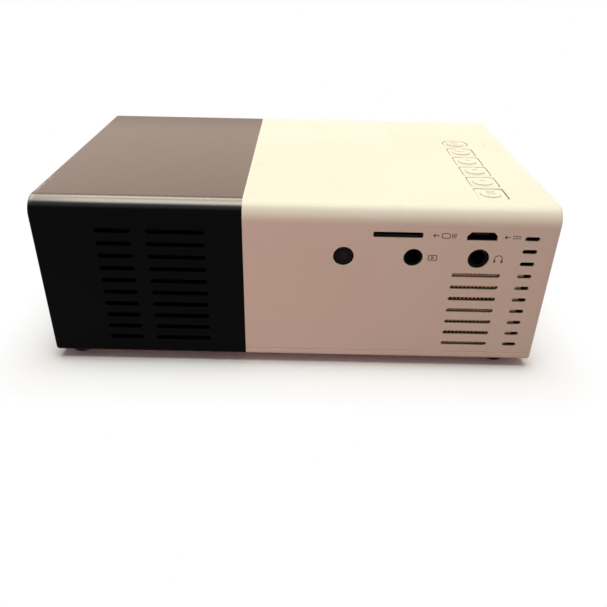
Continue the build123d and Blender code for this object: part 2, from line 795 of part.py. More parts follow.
# Parts soldered on the board: chips, coils, capacitors, the ribbon's socket and the status lamp
with BuildPart() as board_parts:
    with BuildSketch(Plane.XY.offset(board_top)):
        with Locations(main_chip_place):
            Rectangle(main_chip_size, main_chip_size)
    extrude(amount=main_chip_height)
    with BuildSketch(Plane.XY.offset(board_top)):
        with Locations(memory_chip_place):
            Rectangle(*memory_chip_size)
        with Locations((front_chip_x, front_chip_inset - board_half_depth)):
            Rectangle(*front_chip_size)
        with Locations(
            (small_chip_x, small_chip_front_inset - board_half_depth),
            (small_chip_x, board_half_depth - small_chip_rear_inset),
        ):
            Rectangle(*small_chip_size)
    extrude(amount=flat_chip_height)
    coil_x = (key_x + switch_size / 2 + main_chip_place[0] - main_chip_size / 2) / 2
    with BuildSketch(Plane.XY.offset(board_top)):
        with Locations(*[(coil_x, coil_y) for coil_y in coil_places_y]):
            RectangleRounded(coil_size, coil_size, coil_corner)
    extrude(amount=coil_height)
    can_places = [(front_cans_x, inset - board_half_depth) for inset in front_can_insets]
    can_places += [(can_x, board_half_depth - inset) for can_x, inset in rear_cans]
    with BuildSketch(Plane.XY.offset(board_top)):
        with Locations(*can_places):
            Circle(can_radius)
    extrude(amount=can_height)
    with BuildSketch(Plane.XY.offset(board_top)):
        with Locations(strips_place):
            with GridLocations(*strip_pitch, 2, strip_rows):
                Rectangle(*strip_size)
    extrude(amount=strip_height)
    ribbon_socket_x = board_right_x - ribbon_edge_gap - ribbon_socket_length / 2
    with BuildSketch(Plane.XY.offset(board_top)):
        with Locations((ribbon_socket_x, mirror_y)):
            Rectangle(ribbon_socket_length, ribbon_width + 2 * ribbon_socket_margin)
    extrude(amount=ribbon_socket_height)
    with BuildSketch(Plane.XY.offset(board_top)):
        with Locations((lamp_x, lamp_y)):
            Rectangle(lamp_chip_size, lamp_chip_size)
    extrude(amount=lamp_chip_height)
keep(board_parts, "board_parts")


def jack(port_u, nozzle_radius):
    """A round socket for a plug: a box under the board, with its nozzle in the shell's hole."""
    top_to_axis = board_bottom - lower_port_z
    height = top_to_axis + jack_below_axis
    body_front = rear_face - wall - socket_gap
    nozzle_front = rear_face - jack_nozzle_inset
    with Locations((-port_u, body_front - jack_length / 2, board_bottom - height)):
        Box(jack_width, jack_length, height, align=seat_low)
    nozzle_plane = rear_view((-port_u, nozzle_front, lower_port_z))
    with BuildSketch(nozzle_plane) as profile:
        Circle(nozzle_radius)
    extrude(profile.sketch, amount=body_front - nozzle_front)
    with BuildSketch(nozzle_plane) as profile:
        Circle(jack_bore_radius)
    extrude(profile.sketch, amount=-jack_bore_length, mode=Mode.SUBTRACT)


# Sound and picture jack, and headphone jack
with BuildPart() as av_jack:
    jack(av_u, av_hole_radius - jack_nozzle_gap)
keep(av_jack, "av_jack")

with BuildPart() as headphone_jack:
    jack(headphone_u, headphone_hole_radius - jack_nozzle_gap)
keep(headphone_jack, "headphone_jack")

# Power socket: a bevelled tin box on the board with a tongue inside
with BuildPart() as power_socket:
    power_front = rear_face - slot_wall - socket_gap
    power_back_plane = rear_view((-power_u, power_front - power_length, 0))
    power_middle = board_top + power_height / 2
    with BuildSketch(power_back_plane):
        with Locations((0, power_middle)):
            Rectangle(power_width, power_height)
        chamfer(vertices().group_by(Axis.Y)[-1], length=power_hole_chamfer)
    extrude(amount=power_length)
    with BuildSketch(power_back_plane.offset(socket_back)):
        with Locations((0, power_middle)):
            Rectangle(power_width - 2 * power_metal, power_height - 2 * power_metal)
        chamfer(vertices().group_by(Axis.Y)[-1], length=power_hole_chamfer - power_metal / 2)
    extrude(amount=power_length - socket_back, mode=Mode.SUBTRACT)
    with BuildSketch(power_back_plane):
        with Locations((0, power_middle + power_tongue / 4)):
            Rectangle(power_width / 2, power_tongue)
    extrude(amount=power_length - socket_gap)
keep(power_socket, "power_socket")

# Memory card socket: a flat box on the board with a slot for the card
with BuildPart() as memory_card_socket:
    card_front = rear_face - slot_wall - socket_gap
    with Locations((-card_u, card_front - card_length / 2, board_top)):
        Box(card_width, card_length, card_height, align=seat_low)
    with Locations((-card_u, card_front - card_mouth_length / 2, upper_port_z)):
        Box(card_mouth_width, card_mouth_length, card_mouth_height, mode=Mode.SUBTRACT)
keep(memory_card_socket, "memory_card_socket")


def end_socket(port_y, width, height, length, low_chamfer, tongue):
    """A tin socket at the pale end, hung under the board, with a tongue inside its mouth."""
    mouth_x = left_end + socket_recess
    back = Plane(origin=(mouth_x + length, port_y, 0), x_dir=(0, -1, 0), z_dir=(-1, 0, 0))
    middle = board_bottom - height / 2
    with BuildSketch(back) as profile:
        with Locations((0, middle)):
            Rectangle(width, height)
        if low_chamfer:
            chamfer(vertices().group_by(Axis.Y)[0], length=low_chamfer)
    extrude(profile.sketch, amount=length)
    with BuildSketch(back.offset(socket_back)) as profile:
        with Locations((0, middle)):
            Rectangle(width - 2 * socket_metal, height - 2 * socket_metal)
        if low_chamfer:
            chamfer(vertices().group_by(Axis.Y)[0], length=low_chamfer - socket_metal / 2)
    extrude(profile.sketch, amount=length - socket_back, mode=Mode.SUBTRACT)
    with BuildSketch(back) as profile:
        with Locations((0, middle + height / 8)):
            Rectangle(width - 2 * socket_metal - 2 * tongue_side_gap, tongue)
    extrude(profile.sketch, amount=length - socket_gap)


# Video socket and data socket at the pale end
with BuildPart() as video_socket:
    end_socket(video_y, video_width, video_height, video_length, video_chamfer, video_tongue)
keep(video_socket, "video_socket")

with BuildPart() as data_socket:
    end_socket(data_y, data_width, data_height, data_length, 0, data_tongue)
keep(data_socket, "data_socket")

# Remote-control window: a dark plug behind the hole in the rear face
with BuildPart() as remote_window:
    window_plane = rear_view((-window_u, rear_face - wall, lower_port_z))
    with BuildSketch(window_plane):
        Circle(window_lip_radius)
    extrude(amount=-window_lip_depth)
    with BuildSketch(window_plane):
        Circle(window_hole_radius - fit_gap)
    extrude(amount=wall - window_inset)
    fillet(faces().sort_by(Axis.Y)[-1].edges(), radius=window_dome)
keep(remote_window, "remote_window")

# Remote-control receiver, hung under the board behind its window
with BuildPart() as remote_receiver:
    receiver_front = rear_face - wall - window_lip_depth - socket_gap
    with Locations((-window_u, receiver_front - receiver_depth / 2 - receiver_eye_depth, board_bottom)):
        Box(receiver_width, receiver_depth, receiver_height, align=(Align.CENTER, Align.CENTER, Align.MAX))
    with BuildSketch(rear_view((-window_u, receiver_front, lower_port_z))):
        Circle(receiver_eye_radius)
    extrude(amount=-receiver_eye_depth - receiver_depth / 2)
keep(remote_receiver, "remote_receiver")


def key_mark(kind):
    """The mark on a key, drawn on the plane of the sketch that calls it."""
    if kind == "menu":
        with GridLocations(0, key_mark_size * 0.8, 1, 3):
            Rectangle(key_mark_size * 2, key_mark_size * 0.3)
    elif kind == "back":
        Rectangle(key_mark_size * 1.8, key_mark_size * 0.4)
        with Locations((key_mark_size, 0)):
            RegularPolygon(key_mark_size * 0.9, 3)
    elif kind == "power":
        Circle(key_mark_size * 1.2)
        Circle(key_mark_size * 0.85, mode=Mode.SUBTRACT)
        Rectangle(key_mark_size * 0.35, key_mark_size * 3)
    else:
        turn = 180 if kind == "right" else 0
        RegularPolygon(key_mark_size, 3, rotation=turn)


def key_peg(place):
    """The peg under a key, down to its switch."""
    with Locations((*place, plunger_top)):
        Cylinder(peg_radius, key_flange_bottom - plunger_top, align=seat_low)


# Keys: square caps in a row, each with a flange under the shell, a raised disc and a peg to its switch
key_places = {}
for number, key_name in enumerate(key_names):
    key_y = key_first_y - number * key_pitch
    key_places[f"{key_name}_key"] = (key_x, key_y)
    shift = slack_key_shift if number == 0 else 0
    middle = (key_x + shift, key_y + shift)
    with BuildPart() as key:
        with BuildSketch(Plane.XY.offset(key_flange_bottom)):
            with Locations(middle):
                RectangleRounded(key_window + 2 * key_flange, key_window + 2 * key_flange, key_corner)
        extrude(amount=key_flange_height)
        with BuildSketch(Plane.XY.offset(key_flange_bottom)):
            with Locations(middle):
                RectangleRounded(key_window - 2 * key_gap, key_window - 2 * key_gap, key_corner)
        extrude(amount=top_z - key_inset - key_flange_bottom)
        with BuildSketch(Plane.XY.offset(top_z - key_inset)):
            with Locations(middle):
                Circle(key_disc_radius)
        extrude(amount=key_disc_height)
        fillet(faces().sort_by(Axis.Z)[-1].edges(), radius=key_disc_height * 0.6)
        with BuildSketch(Plane.XY.offset(top_z - key_inset + key_disc_height)):
            with Locations(middle):
                key_mark(key_name)
        extrude(amount=-key_mark_depth, mode=Mode.SUBTRACT)
        key_peg((key_x, key_y))
    keep(key, f"{key_name}_key")

# Power key, round, at the far end of the row
key_places["power_key"] = (key_x, power_key_y)
with BuildPart() as power_key:
    with BuildSketch(Plane.XY.offset(key_flange_bottom)):
        with Locations((key_x, power_key_y)):
            Circle(power_key_radius + key_gap + key_flange)
    extrude(amount=key_flange_height)
    with BuildSketch(Plane.XY.offset(key_flange_bottom)):
        with Locations((key_x, power_key_y)):
            Circle(power_key_radius)
    extrude(amount=top_z - key_inset - key_flange_bottom)
    with BuildSketch(Plane.XY.offset(top_z - key_inset)):
        with Locations((key_x, power_key_y)):
            Circle(key_disc_radius)
    extrude(amount=key_disc_height)
    fillet(faces().sort_by(Axis.Z)[-1].edges(), radius=key_disc_height * 0.6)
    with BuildSketch(Plane.XY.offset(top_z - key_inset + key_disc_height)):
        with Locations((key_x, power_key_y)):
            key_mark("power")
    extrude(amount=-key_mark_depth, mode=Mode.SUBTRACT)
    key_peg((key_x, power_key_y))
keep(power_key, "power_key")

# Switches under the keys, each with a well for its plunger
with BuildPart() as key_switches:
    for place in key_places.values():
        with Locations((*place, board_top)):
            Box(switch_size, switch_size, switch_height, align=seat_low)
        with Locations((*place, switch_top - switch_well_depth)):
            Cylinder(peg_radius + plunger_gap, switch_well_depth, align=seat_low, mode=Mode.SUBTRACT)
keep(key_switches, "key_switches")

# Switch plungers, one under each key's peg
plunger_length = plunger_rise + switch_well_depth - key_travel - plunger_gap
for key_name, place in key_places.items():
    with BuildPart() as plunger:
        with Locations((*place, plunger_top - plunger_length)):
            Cylinder(peg_radius, plunger_length, align=seat_low)
    keep(plunger, f"{key_name}_plunger")

# Status light: a clear guide from the lamp chip up to the top face
with BuildPart() as status_light:
    guide_bottom = board_top + lamp_chip_height
    with Locations((lamp_x, lamp_y, guide_bottom)):
        Cylinder(lamp_radius - lamp_gap, top_z - guide_bottom, align=seat_low)
    with Locations((lamp_x, lamp_y, ceiling_z - fit_gap)):
        Cylinder(lamp_collar_radius, lamp_collar_height, align=(Align.CENTER, Align.CENTER, Align.MAX))
    with Locations((lamp_x, lamp_y, guide_bottom)):
        Cylinder(lamp_collar_radius, lamp_collar_height, align=seat_low)
keep(status_light, "status_light")

# Fan frame: a square duct with a motor seat on struts at its outlet
fan_plane = light_plane(fan_left)
screw_span = fan_size - 2 * fan_screw_inset
with BuildPart() as fan_frame:
    with BuildSketch(fan_plane):
        RectangleRounded(fan_size, fan_size, fan_corner_radius)
        Circle(fan_bore_radius, mode=Mode.SUBTRACT)
    extrude(amount=fan_depth)
    with BuildSketch(fan_plane):
        with PolarLocations(0, fan_struts, start_angle=45):
            with Locations((fan_bore_radius / 2, 0)):
                Rectangle(fan_bore_radius + fit_gap, fan_strut_width)
        Circle(fan_motor_radius)
    extrude(amount=fan_motor_depth)
    with BuildSketch(fan_plane):
        Circle(fan_bearing_radius)
    extrude(amount=fan_motor_depth + fan_hub_depth - fan_hub_wall - fan_running_gap)
    with BuildSketch(fan_plane.offset(fan_hub_wall)):
        Circle(fan_shaft_radius + fan_bearing_gap)
    extrude(amount=fan_depth, mode=Mode.SUBTRACT)
    with BuildSketch(fan_plane):
        with GridLocations(screw_span, screw_span, 2, 2):
            Circle(small_hole_radius)
    extrude(amount=fan_depth, mode=Mode.SUBTRACT)
keep(fan_frame, "fan_frame")

# Fan rotor: a cup on a shaft, with tilted blades round it
hub_plane = fan_plane.offset(fan_motor_depth + fan_running_gap)
with BuildPart() as fan_rotor:
    blade_length = fan_tip_radius - fan_hub_radius + fan_hub_wall
    blade_middle = fan_tip_radius - blade_length / 2
    for blade in range(fan_blades):
        turn = 360 * blade / fan_blades
        across = Vector(0, cos(radians(turn)), sin(radians(turn)))
        blade_origin = hub_plane.offset(fan_hub_depth / 2).origin + across * blade_middle
        blade_plane = Plane(origin=blade_origin, x_dir=across, z_dir=(1, 0, 0))
        with BuildSketch(blade_plane.rotated((fan_blade_angle, 0, 0))):
            Rectangle(blade_length, fan_blade_thickness)
        extrude(amount=fan_blade_width / 2, both=True)
    with BuildSketch(hub_plane):
        Circle(fan_tip_radius)
    extrude(amount=fan_hub_depth, mode=Mode.INTERSECT)
    with BuildSketch(hub_plane):
        Circle(fan_hub_radius)
    extrude(amount=fan_hub_depth)
    with BuildSketch(hub_plane):
        Circle(fan_hub_radius - fan_hub_wall)
    extrude(amount=fan_hub_depth - fan_hub_wall, mode=Mode.SUBTRACT)
    shaft_start = fan_hub_wall + fit_gap
    hub_end = fan_motor_depth + fan_running_gap + fan_hub_depth
    with BuildSketch(fan_plane.offset(shaft_start)):
        Circle(fan_shaft_radius)
    extrude(amount=hub_end - shaft_start - fan_hub_wall / 2)
keep(fan_rotor, "fan_rotor")

# Fan screws, through the frame's corners into the heat sink
with BuildPart() as fan_screws:
    for side_y in (-1, 1):
        for side_z in (-1, 1):
            corner = (fan_left, mirror_y + side_y * screw_span / 2, axis_z + side_z * screw_span / 2)
            seat = Plane(origin=corner, x_dir=(0, 1, 0), z_dir=(1, 0, 0))
            length = fan_depth + fan_screw_bite
            screw(seat, small_screw_radius, small_screw_head_radius, small_screw_head_height, length)
keep(fan_screws, "fan_screws")

# Heat sink: fins along the air's path between the fan and the lamp
with BuildPart() as heat_sink:
    with BuildSketch(light_plane(sink_left)):
        fin_pitch = (sink_size - sink_fin_thickness) / (sink_fins - 1)
        with GridLocations(fin_pitch, 0, sink_fins, 1):
            Rectangle(sink_fin_thickness, sink_size)
        with GridLocations(sink_size - sink_corner, sink_size - sink_corner, 2, 2):
            Rectangle(sink_corner, sink_corner)
        with GridLocations(screw_span, screw_span, 2, 2):
            Circle(small_bore_radius, mode=Mode.SUBTRACT)
    extrude(amount=sink_fin_length)
    with BuildSketch(light_plane(sink_left + sink_fin_length)):
        Rectangle(sink_size, sink_size)
    extrude(amount=sink_base)
keep(heat_sink, "heat_sink")

# Lamp board and its emitter, on the heat sink's face
with BuildPart() as lamp_board:
    with BuildSketch(light_plane(lamp_board_left)):
        RectangleRounded(lamp_board_size, lamp_board_size, lamp_board_corner)
    extrude(amount=lamp_board_thickness)
keep(lamp_board, "lamp_board")

with BuildPart() as lamp_emitter:
    with BuildSketch(light_plane(lamp_face)):
        Circle(emitter_radius)
    extrude(amount=emitter_thickness)
keep(lamp_emitter, "lamp_emitter")

# Light funnel: holds the condenser lens and shades the way to the plates
with BuildPart() as light_funnel:
    straight_size = 2 * (condenser_radius + element_gap + funnel_wall)
    with BuildSketch(light_plane(lamp_face)):
        Rectangle(straight_size, straight_size)
    extrude(amount=funnel_straight)
    with BuildSketch(light_plane(funnel_step)):
        Rectangle(straight_size, straight_size)
    with BuildSketch(light_plane(engine_left)):
        Rectangle(picture_width + 2 * funnel_wall, picture_height + 2 * funnel_wall)
    loft()
    with BuildSketch(light_plane(engine_left - funnel_flange)):
        flange_size = 2 * (funnel_wall + funnel_rim)
        Rectangle(picture_width + flange_size, picture_height + flange_size)
    extrude(amount=funnel_flange)
    with BuildSketch(light_plane(lamp_face)):
        Circle(condenser_radius + element_gap)
    extrude(amount=funnel_straight, mode=Mode.SUBTRACT)
    with BuildSketch(light_plane(funnel_step)):
        Rectangle(2 * funnel_throat, 2 * funnel_throat)
    with BuildSketch(light_plane(engine_left)):
        Rectangle(picture_width, picture_height)
    loft(mode=Mode.SUBTRACT)
keep(light_funnel, "light_funnel")

# Condenser lens: a rim against the funnel's step, flat towards the lamp and domed towards the plates
with BuildPart() as condenser_lens:
    condenser_place = (funnel_step - condenser_edge, mirror_y, axis_z)
    with BuildSketch(Plane(origin=condenser_place, x_dir=(1, 0, 0), z_dir=(0, -1, 0))):
        with BuildLine():
            Polyline((condenser_edge + condenser_rise, 0), (0, 0), (0, condenser_radius))
            Line((0, condenser_radius), (condenser_edge, condenser_radius))
            Line((condenser_edge, condenser_radius), (condenser_edge, condenser_dome_radius))
            dome_tip = (condenser_edge + condenser_rise, 0)
            TangentArc(dome_tip, (condenser_edge, condenser_dome_radius), tangent=(0, 1))
        make_face()
    revolve(axis=Axis((0, mirror_y, axis_z), (1, 0, 0)))
keep(condenser_lens, "condenser_lens")


def light_plate(start, thickness):
    """A clear plate across the light's path, standing in its slot."""
    with BuildSketch(light_plane(start + plate_gap)) as profile:
        Rectangle(plate_width, plate_height)
    extrude(profile.sketch, amount=thickness)


# Heat glass, collimator plate and field plate
with BuildPart() as heat_glass:
    light_plate(slot_starts[0], heat_glass_thickness)
keep(heat_glass, "heat_glass")

with BuildPart() as collimator_plate:
    light_plate(slot_starts[1], ribbed_plate_thickness)
keep(collimator_plate, "collimator_plate")

with BuildPart() as field_plate:
    light_plate(slot_starts[3], ribbed_plate_thickness)
keep(field_plate, "field_plate")

# Picture panel: its frame, and the glass set in it
with BuildPart() as panel_frame:
    with BuildSketch(light_plane(slot_starts[2] + plate_gap)):
        Rectangle(plate_width, plate_height)
        Rectangle(picture_width, picture_height, mode=Mode.SUBTRACT)
    extrude(amount=panel_thickness)
keep(panel_frame, "panel_frame")

with BuildPart() as picture_panel:
    with BuildSketch(light_plane(slot_starts[2] + plate_gap + (panel_thickness - panel_glass) / 2)):
        Rectangle(picture_width - fit_gap, picture_height - fit_gap)
    extrude(amount=panel_glass)
keep(picture_panel, "picture_panel")

# Engine case: an open-topped box with the plates' slots, the mirror's slanted wall and the lens's opening
mirror_turn = 45
mirror_back_shift = mirror_thickness * cos(radians(mirror_turn))
with BuildPart() as engine_case:
    with BuildSketch(Plane.XY.offset(engine_bottom)):
        with Locations(((engine_left + engine_right) / 2, (engine_front + engine_rear) / 2)):
            Rectangle(engine_right - engine_left, engine_rear - engine_front)
    extrude(amount=engine_top - engine_bottom)
    with BuildSketch(Plane.XY.offset(engine_floor)):
        inner_left = engine_left + engine_wall
        inner_right = engine_right - engine_wall
        inner_middle_y = (engine_inner_front + engine_inner_rear) / 2
        inner_depth = engine_inner_rear - engine_inner_front
        with Locations(((inner_left + inner_right) / 2, inner_middle_y)):
            Rectangle(inner_right - inner_left, inner_depth)
        with Locations(((divider_left + divider_right) / 2, inner_middle_y)):
            Rectangle(engine_wall, inner_depth, mode=Mode.SUBTRACT)
        for start, span in zip(slot_starts[:-1], slot_spans[:-1]):
            for rib_y in (engine_inner_front + rib_reach / 2, engine_inner_rear - rib_reach / 2):
                with Locations((start + span + rib_length / 2, rib_y)):
                    Rectangle(rib_length, rib_reach, mode=Mode.SUBTRACT)
        wall_shift = mirror_back_shift + engine_wall / 2 * cos(radians(mirror_turn))
        with Locations(Location((lens_x + wall_shift, mirror_y + wall_shift), -mirror_turn)):
            Rectangle(2 * mirror_width, engine_wall, mode=Mode.SUBTRACT)
    extrude(amount=engine_top - engine_floor, mode=Mode.SUBTRACT)
    with BuildSketch(light_plane(engine_left)):
        Rectangle(picture_width, picture_height)
    extrude(amount=divider_right - engine_left, mode=Mode.SUBTRACT)
    bosses_y = engine_front + engine_wall / 2
    mount_screw_span = mount_flange_size - 2 * mount_screw_inset
    with BuildSketch(lens_plane(bosses_y)):
        with GridLocations(mount_screw_span, mount_screw_span, 2, 2):
            Circle(mount_boss_radius)
    extrude(amount=engine_wall / 2 + mount_boss_length)
    with BuildSketch(lens_plane(engine_front)):
        Circle(barrel_radius + barrel_gap)
        with GridLocations(mount_screw_span, mount_screw_span, 2, 2):
            Circle(small_bore_radius)
    extrude(amount=engine_wall + mount_boss_length - fit_gap, mode=Mode.SUBTRACT)
    for ear_x, ear_y in ear_places:
        wall_y = engine_rear if ear_y > mirror_y else engine_front
        with BuildSketch(Plane.XY.offset(ear_bottom)):
            with Locations((ear_x, ear_y)):
                Circle(ear_radius)
            with Locations((ear_x, (ear_y + wall_y) / 2)):
                Rectangle(2 * ear_radius, abs(ear_y - wall_y))
            with Locations((ear_x, ear_y)):
                Circle(small_hole_radius, mode=Mode.SUBTRACT)
        extrude(amount=ear_thickness)
keep(engine_case, "engine_case")

# Engine lid, with a slot for the panel's ribbon
with BuildPart() as engine_lid:
    with BuildSketch(Plane.XY.offset(engine_top)):
        with Locations(((engine_left + engine_right) / 2, (engine_front + engine_rear) / 2)):
            Rectangle(engine_right - engine_left, engine_rear - engine_front)
        with Locations((slot_starts[2] + slot_spans[2] / 2, mirror_y)):
            Rectangle(slot_spans[2], lid_slot_width, mode=Mode.SUBTRACT)
    extrude(amount=lid_thickness)
keep(engine_lid, "engine_lid")

# Mirror, standing on the engine's floor against its slanted wall
with BuildPart() as mirror:
    with BuildSketch(Plane.XY.offset(engine_floor)):
        half_back = mirror_back_shift / 2
        with Locations(Location((lens_x + half_back, mirror_y + half_back), -mirror_turn)):
            Rectangle(mirror_width, mirror_thickness)
    extrude(amount=plate_height)
keep(mirror, "mirror")

# The path of the middle of a focus groove: a short right-handed helix round the lens's axis
groove_turn = focus_turn + 2 * groove_spare_turn
groove_rise = focus_lead * groove_turn / 360
groove_radius = barrel_radius + barrel_gap + (groove_depth - groove_overcut) / 2
with BuildLine() as groove_path:
    Helix(
        pitch=focus_lead,
        height=groove_rise,
        radius=groove_radius,
        center=(lens_x, pin_y + groove_rise / 2, axis_z),
        direction=(0, -1, 0),
    )
groove_start = groove_path.line @ 0
groove_middle = groove_path.line @ 0.5
pin_reach = Vector(groove_middle.X - lens_x, 0, groove_middle.Z - axis_z).normalized()

with BuildPart() as focus_groove:
    start_reach = Vector(groove_start.X - lens_x, 0, groove_start.Z - axis_z).normalized()
    with BuildSketch(Plane(origin=groove_start, x_dir=start_reach, z_dir=groove_path.line % 0)):
        Rectangle(groove_depth + groove_overcut, groove_width)
    sweep(path=groove_path.line, is_frenet=True)

# Lens mount: a flange on the engine and a tube with a helical groove for each pin
with BuildPart() as lens_mount:
    with BuildSketch(lens_plane(flange_front)):
        RectangleRounded(mount_flange_size, mount_flange_size, mount_screw_inset)
        with GridLocations(mount_screw_span, mount_screw_span, 2, 2):
            Circle(small_hole_radius, mode=Mode.SUBTRACT)
    extrude(amount=mount_flange_thickness)
    with BuildSketch(lens_plane(mount_front)):
        Circle(mount_radius)
    extrude(amount=flange_front - mount_front)
    with BuildSketch(lens_plane(mount_front)):
        Circle(mount_collar_radius)
    extrude(amount=mount_collar_thickness)
    with BuildSketch(lens_plane(mount_front)):
        Circle(barrel_radius + barrel_gap)
    extrude(amount=flange_rear - mount_front, mode=Mode.SUBTRACT)
    for groove in range(pin_count):
        add(focus_groove.part.rotate(lens_axis, 360 * groove / pin_count), mode=Mode.SUBTRACT)
keep(lens_mount, "lens_mount")

# Small screws: up through the board into its posts, down through the engine's ears into the cover,
# and back through the mount's flange into the engine's bosses
small_screw_seats = [Plane.XY.offset(board_bottom).move(Location((*post, 0))) for post in post_places]
for ear in ear_places:
    small_screw_seats.append(Plane(origin=(*ear, ear_seat), x_dir=(1, 0, 0), z_dir=(0, 0, -1)))
for side_x in (-1, 1):
    for side_z in (-1, 1):
        corner_x = lens_x + side_x * mount_screw_span / 2
        corner_z = axis_z + side_z * mount_screw_span / 2
        small_screw_seats.append(Plane(origin=(corner_x, flange_front, corner_z), z_dir=(0, 1, 0)))
with BuildPart() as small_screws:
    for seat in small_screw_seats:
        screw(seat, small_screw_radius, small_screw_head_radius, small_screw_head_height, small_screw_length)
keep(small_screws, "small_screws")

# Guide pins: short studs in the barrel that ride in the mount's grooves
pin_inner = barrel_bore_radius + element_gap + fit_gap
pin_outer = barrel_radius + barrel_gap + groove_depth - fit_gap
pin_planes = []
for pin in range(pin_count):
    reach = pin_reach.rotate(Axis((0, 0, 0), (0, 1, 0)), 360 * pin / pin_count)
    pin_planes.append(Plane(origin=Vector(lens_x, pin_y, axis_z) + reach * pin_inner, z_dir=reach))

with BuildPart() as guide_pins:
    for pin_plane in pin_planes:
        with BuildSketch(pin_plane):
            Circle(pin_radius)
        extrude(amount=pin_outer - pin_inner)
keep(guide_pins, "guide_pins")

# Focus barrel: the tube that holds the glass, with a ribbed grip round its front
with BuildPart() as focus_barrel:
    with BuildSketch(lens_plane(barrel_front)):
        Circle(barrel_radius)
    extrude(amount=barrel_length)
    with BuildSketch(lens_plane(barrel_front)):
        Circle(grip_radius)
        with PolarLocations(grip_radius, grip_ribs):
            Circle(grip_rib_radius)
    extrude(amount=grip_length)
    with BuildSketch(lens_plane(barrel_front)):
        Circle(front_window_radius)
    extrude(amount=front_lip, mode=Mode.SUBTRACT)
    window_rim = faces().sort_by(Axis.Y)[0].edges().sort_by(SortBy.LENGTH)
    chamfer(window_rim.filter_by(GeomType.CIRCLE)[-1], length=front_flare)
    with BuildSketch(lens_plane(front_element_y)):
        Circle(barrel_bore_radius)
    extrude(amount=barrel_length, mode=Mode.SUBTRACT)
    for pin_plane in pin_planes:
        with BuildSketch(pin_plane.offset(-pin_hole_overcut)):
            Circle(pin_radius + fit_gap / 2)
        extrude(amount=2 * pin_hole_overcut + barrel_wall, mode=Mode.SUBTRACT)
keep(focus_barrel, "focus_barrel")


def lens_element(y, edge, front_rise, front_radius, rear_rise, rear_radius):
    """A round glass from its rim's front face y, with a bulge (or, below 0, a dish) on each side."""
    with BuildSketch(Plane(origin=(lens_x, y, axis_z), x_dir=(1, 0, 0), z_dir=(0, 0, 1))) as profile:
        with BuildLine():
            Line((0, -front_rise), (0, edge + rear_rise))
            TangentArc((0, edge + rear_rise), (rear_radius, edge), tangent=(1, 0))
            Polyline((rear_radius, edge), (element_radius, edge), (element_radius, 0), (front_radius, 0))
            TangentArc((0, -front_rise), (front_radius, 0), tangent=(1, 0))
        make_face()
    revolve(profile.sketch, axis=lens_axis)


# Glass elements, from the front: a bulging one, a dished one and a bulging one
with BuildPart() as front_lens:
    lens_element(front_element_y, element_edge, front_bulge, front_dome_radius, rear_bulge, rear_dome_radius)
keep(front_lens, "front_lens")

with BuildPart() as middle_lens:
    lens_element(
        middle_element_y, middle_edge, -middle_dish, middle_dish_radius, -middle_dish, middle_dish_radius
    )
keep(middle_lens, "middle_lens")

with BuildPart() as rear_lens:
    lens_element(rear_element_y, element_edge, rear_bulge, rear_dome_radius, rear_bulge, front_dome_radius)
keep(rear_lens, "rear_lens")

# Spacers between the elements, and the ring behind them that holds them all in
with BuildPart() as lens_rings:
    for spacer_y in (first_spacer_y, second_spacer_y):
        with BuildSketch(lens_plane(spacer_y)):
            Circle(element_radius)
            Circle(element_radius - spacer_wall, mode=Mode.SUBTRACT)
        extrude(amount=spacer_length)
    with BuildSketch(lens_plane(ring_y)):
        Circle(element_radius)
        Circle(element_radius - ring_wall, mode=Mode.SUBTRACT)
    extrude(amount=ring_length)
keep(lens_rings, "lens_rings")

# Speaker: frame, cone and magnet behind its slots, with a wire mesh between
speaker_front = rear_face - slot_wall - mesh_thickness


def speaker_plane(y):
    """A plane across the speaker, whose extrusions run in from the rear face."""
    return Plane(origin=(-speaker_slot_u, y, speaker_z), x_dir=(1, 0, 0), z_dir=(0, -1, 0))


with BuildPart() as vent_mesh:
    mesh_z = (slot_zs[0] + slot_zs[speaker_slot_rows - 1]) / 2
    mesh_height = slot_zs[speaker_slot_rows - 1] - slot_zs[0] + 2 * mesh_lap
    mesh_border = mesh_pitch - mesh_hole
    mesh_columns = int((mesh_width - mesh_border) / mesh_pitch)
    mesh_rows = int((mesh_height - mesh_border) / mesh_pitch)
    with BuildSketch(speaker_plane(rear_face - slot_wall)):
        with Locations((0, mesh_z - speaker_z)):
            Rectangle(mesh_width, mesh_height)
            with GridLocations(mesh_pitch, mesh_pitch, mesh_columns, mesh_rows):
                Rectangle(mesh_hole, mesh_hole, mode=Mode.SUBTRACT)
    extrude(amount=mesh_thickness)
keep(vent_mesh, "vent_mesh")

with BuildPart() as speaker_frame:
    with BuildSketch(speaker_plane(speaker_front)):
        RectangleRounded(speaker_width, speaker_height, speaker_corner)
    extrude(amount=speaker_depth)
    with BuildSketch(speaker_plane(speaker_front)):
        inner_corner = speaker_corner - speaker_rim
        RectangleRounded(speaker_width - 2 * speaker_rim, speaker_height - 2 * speaker_rim, inner_corner)
    extrude(amount=speaker_depth - speaker_floor, mode=Mode.SUBTRACT)
keep(speaker_frame, "speaker_frame")

with BuildPart() as speaker_cone:
    cone_inset = 2 * (speaker_rim + cone_gap)
    cone_corner = speaker_corner - speaker_rim - cone_gap
    cone_plane = speaker_plane(speaker_front - speaker_depth + speaker_floor + cone_gap + cone_thickness)
    with BuildSketch(cone_plane):
        RectangleRounded(speaker_width - cone_inset, speaker_height - cone_inset, cone_corner)
    extrude(amount=cone_thickness)
    with BuildSketch(cone_plane):
        Circle(cone_dome_radius)
    extrude(amount=-cone_thickness)
    fillet(faces().sort_by(Axis.Y)[-1].edges(), radius=cone_thickness * 0.9)
keep(speaker_cone, "speaker_cone")

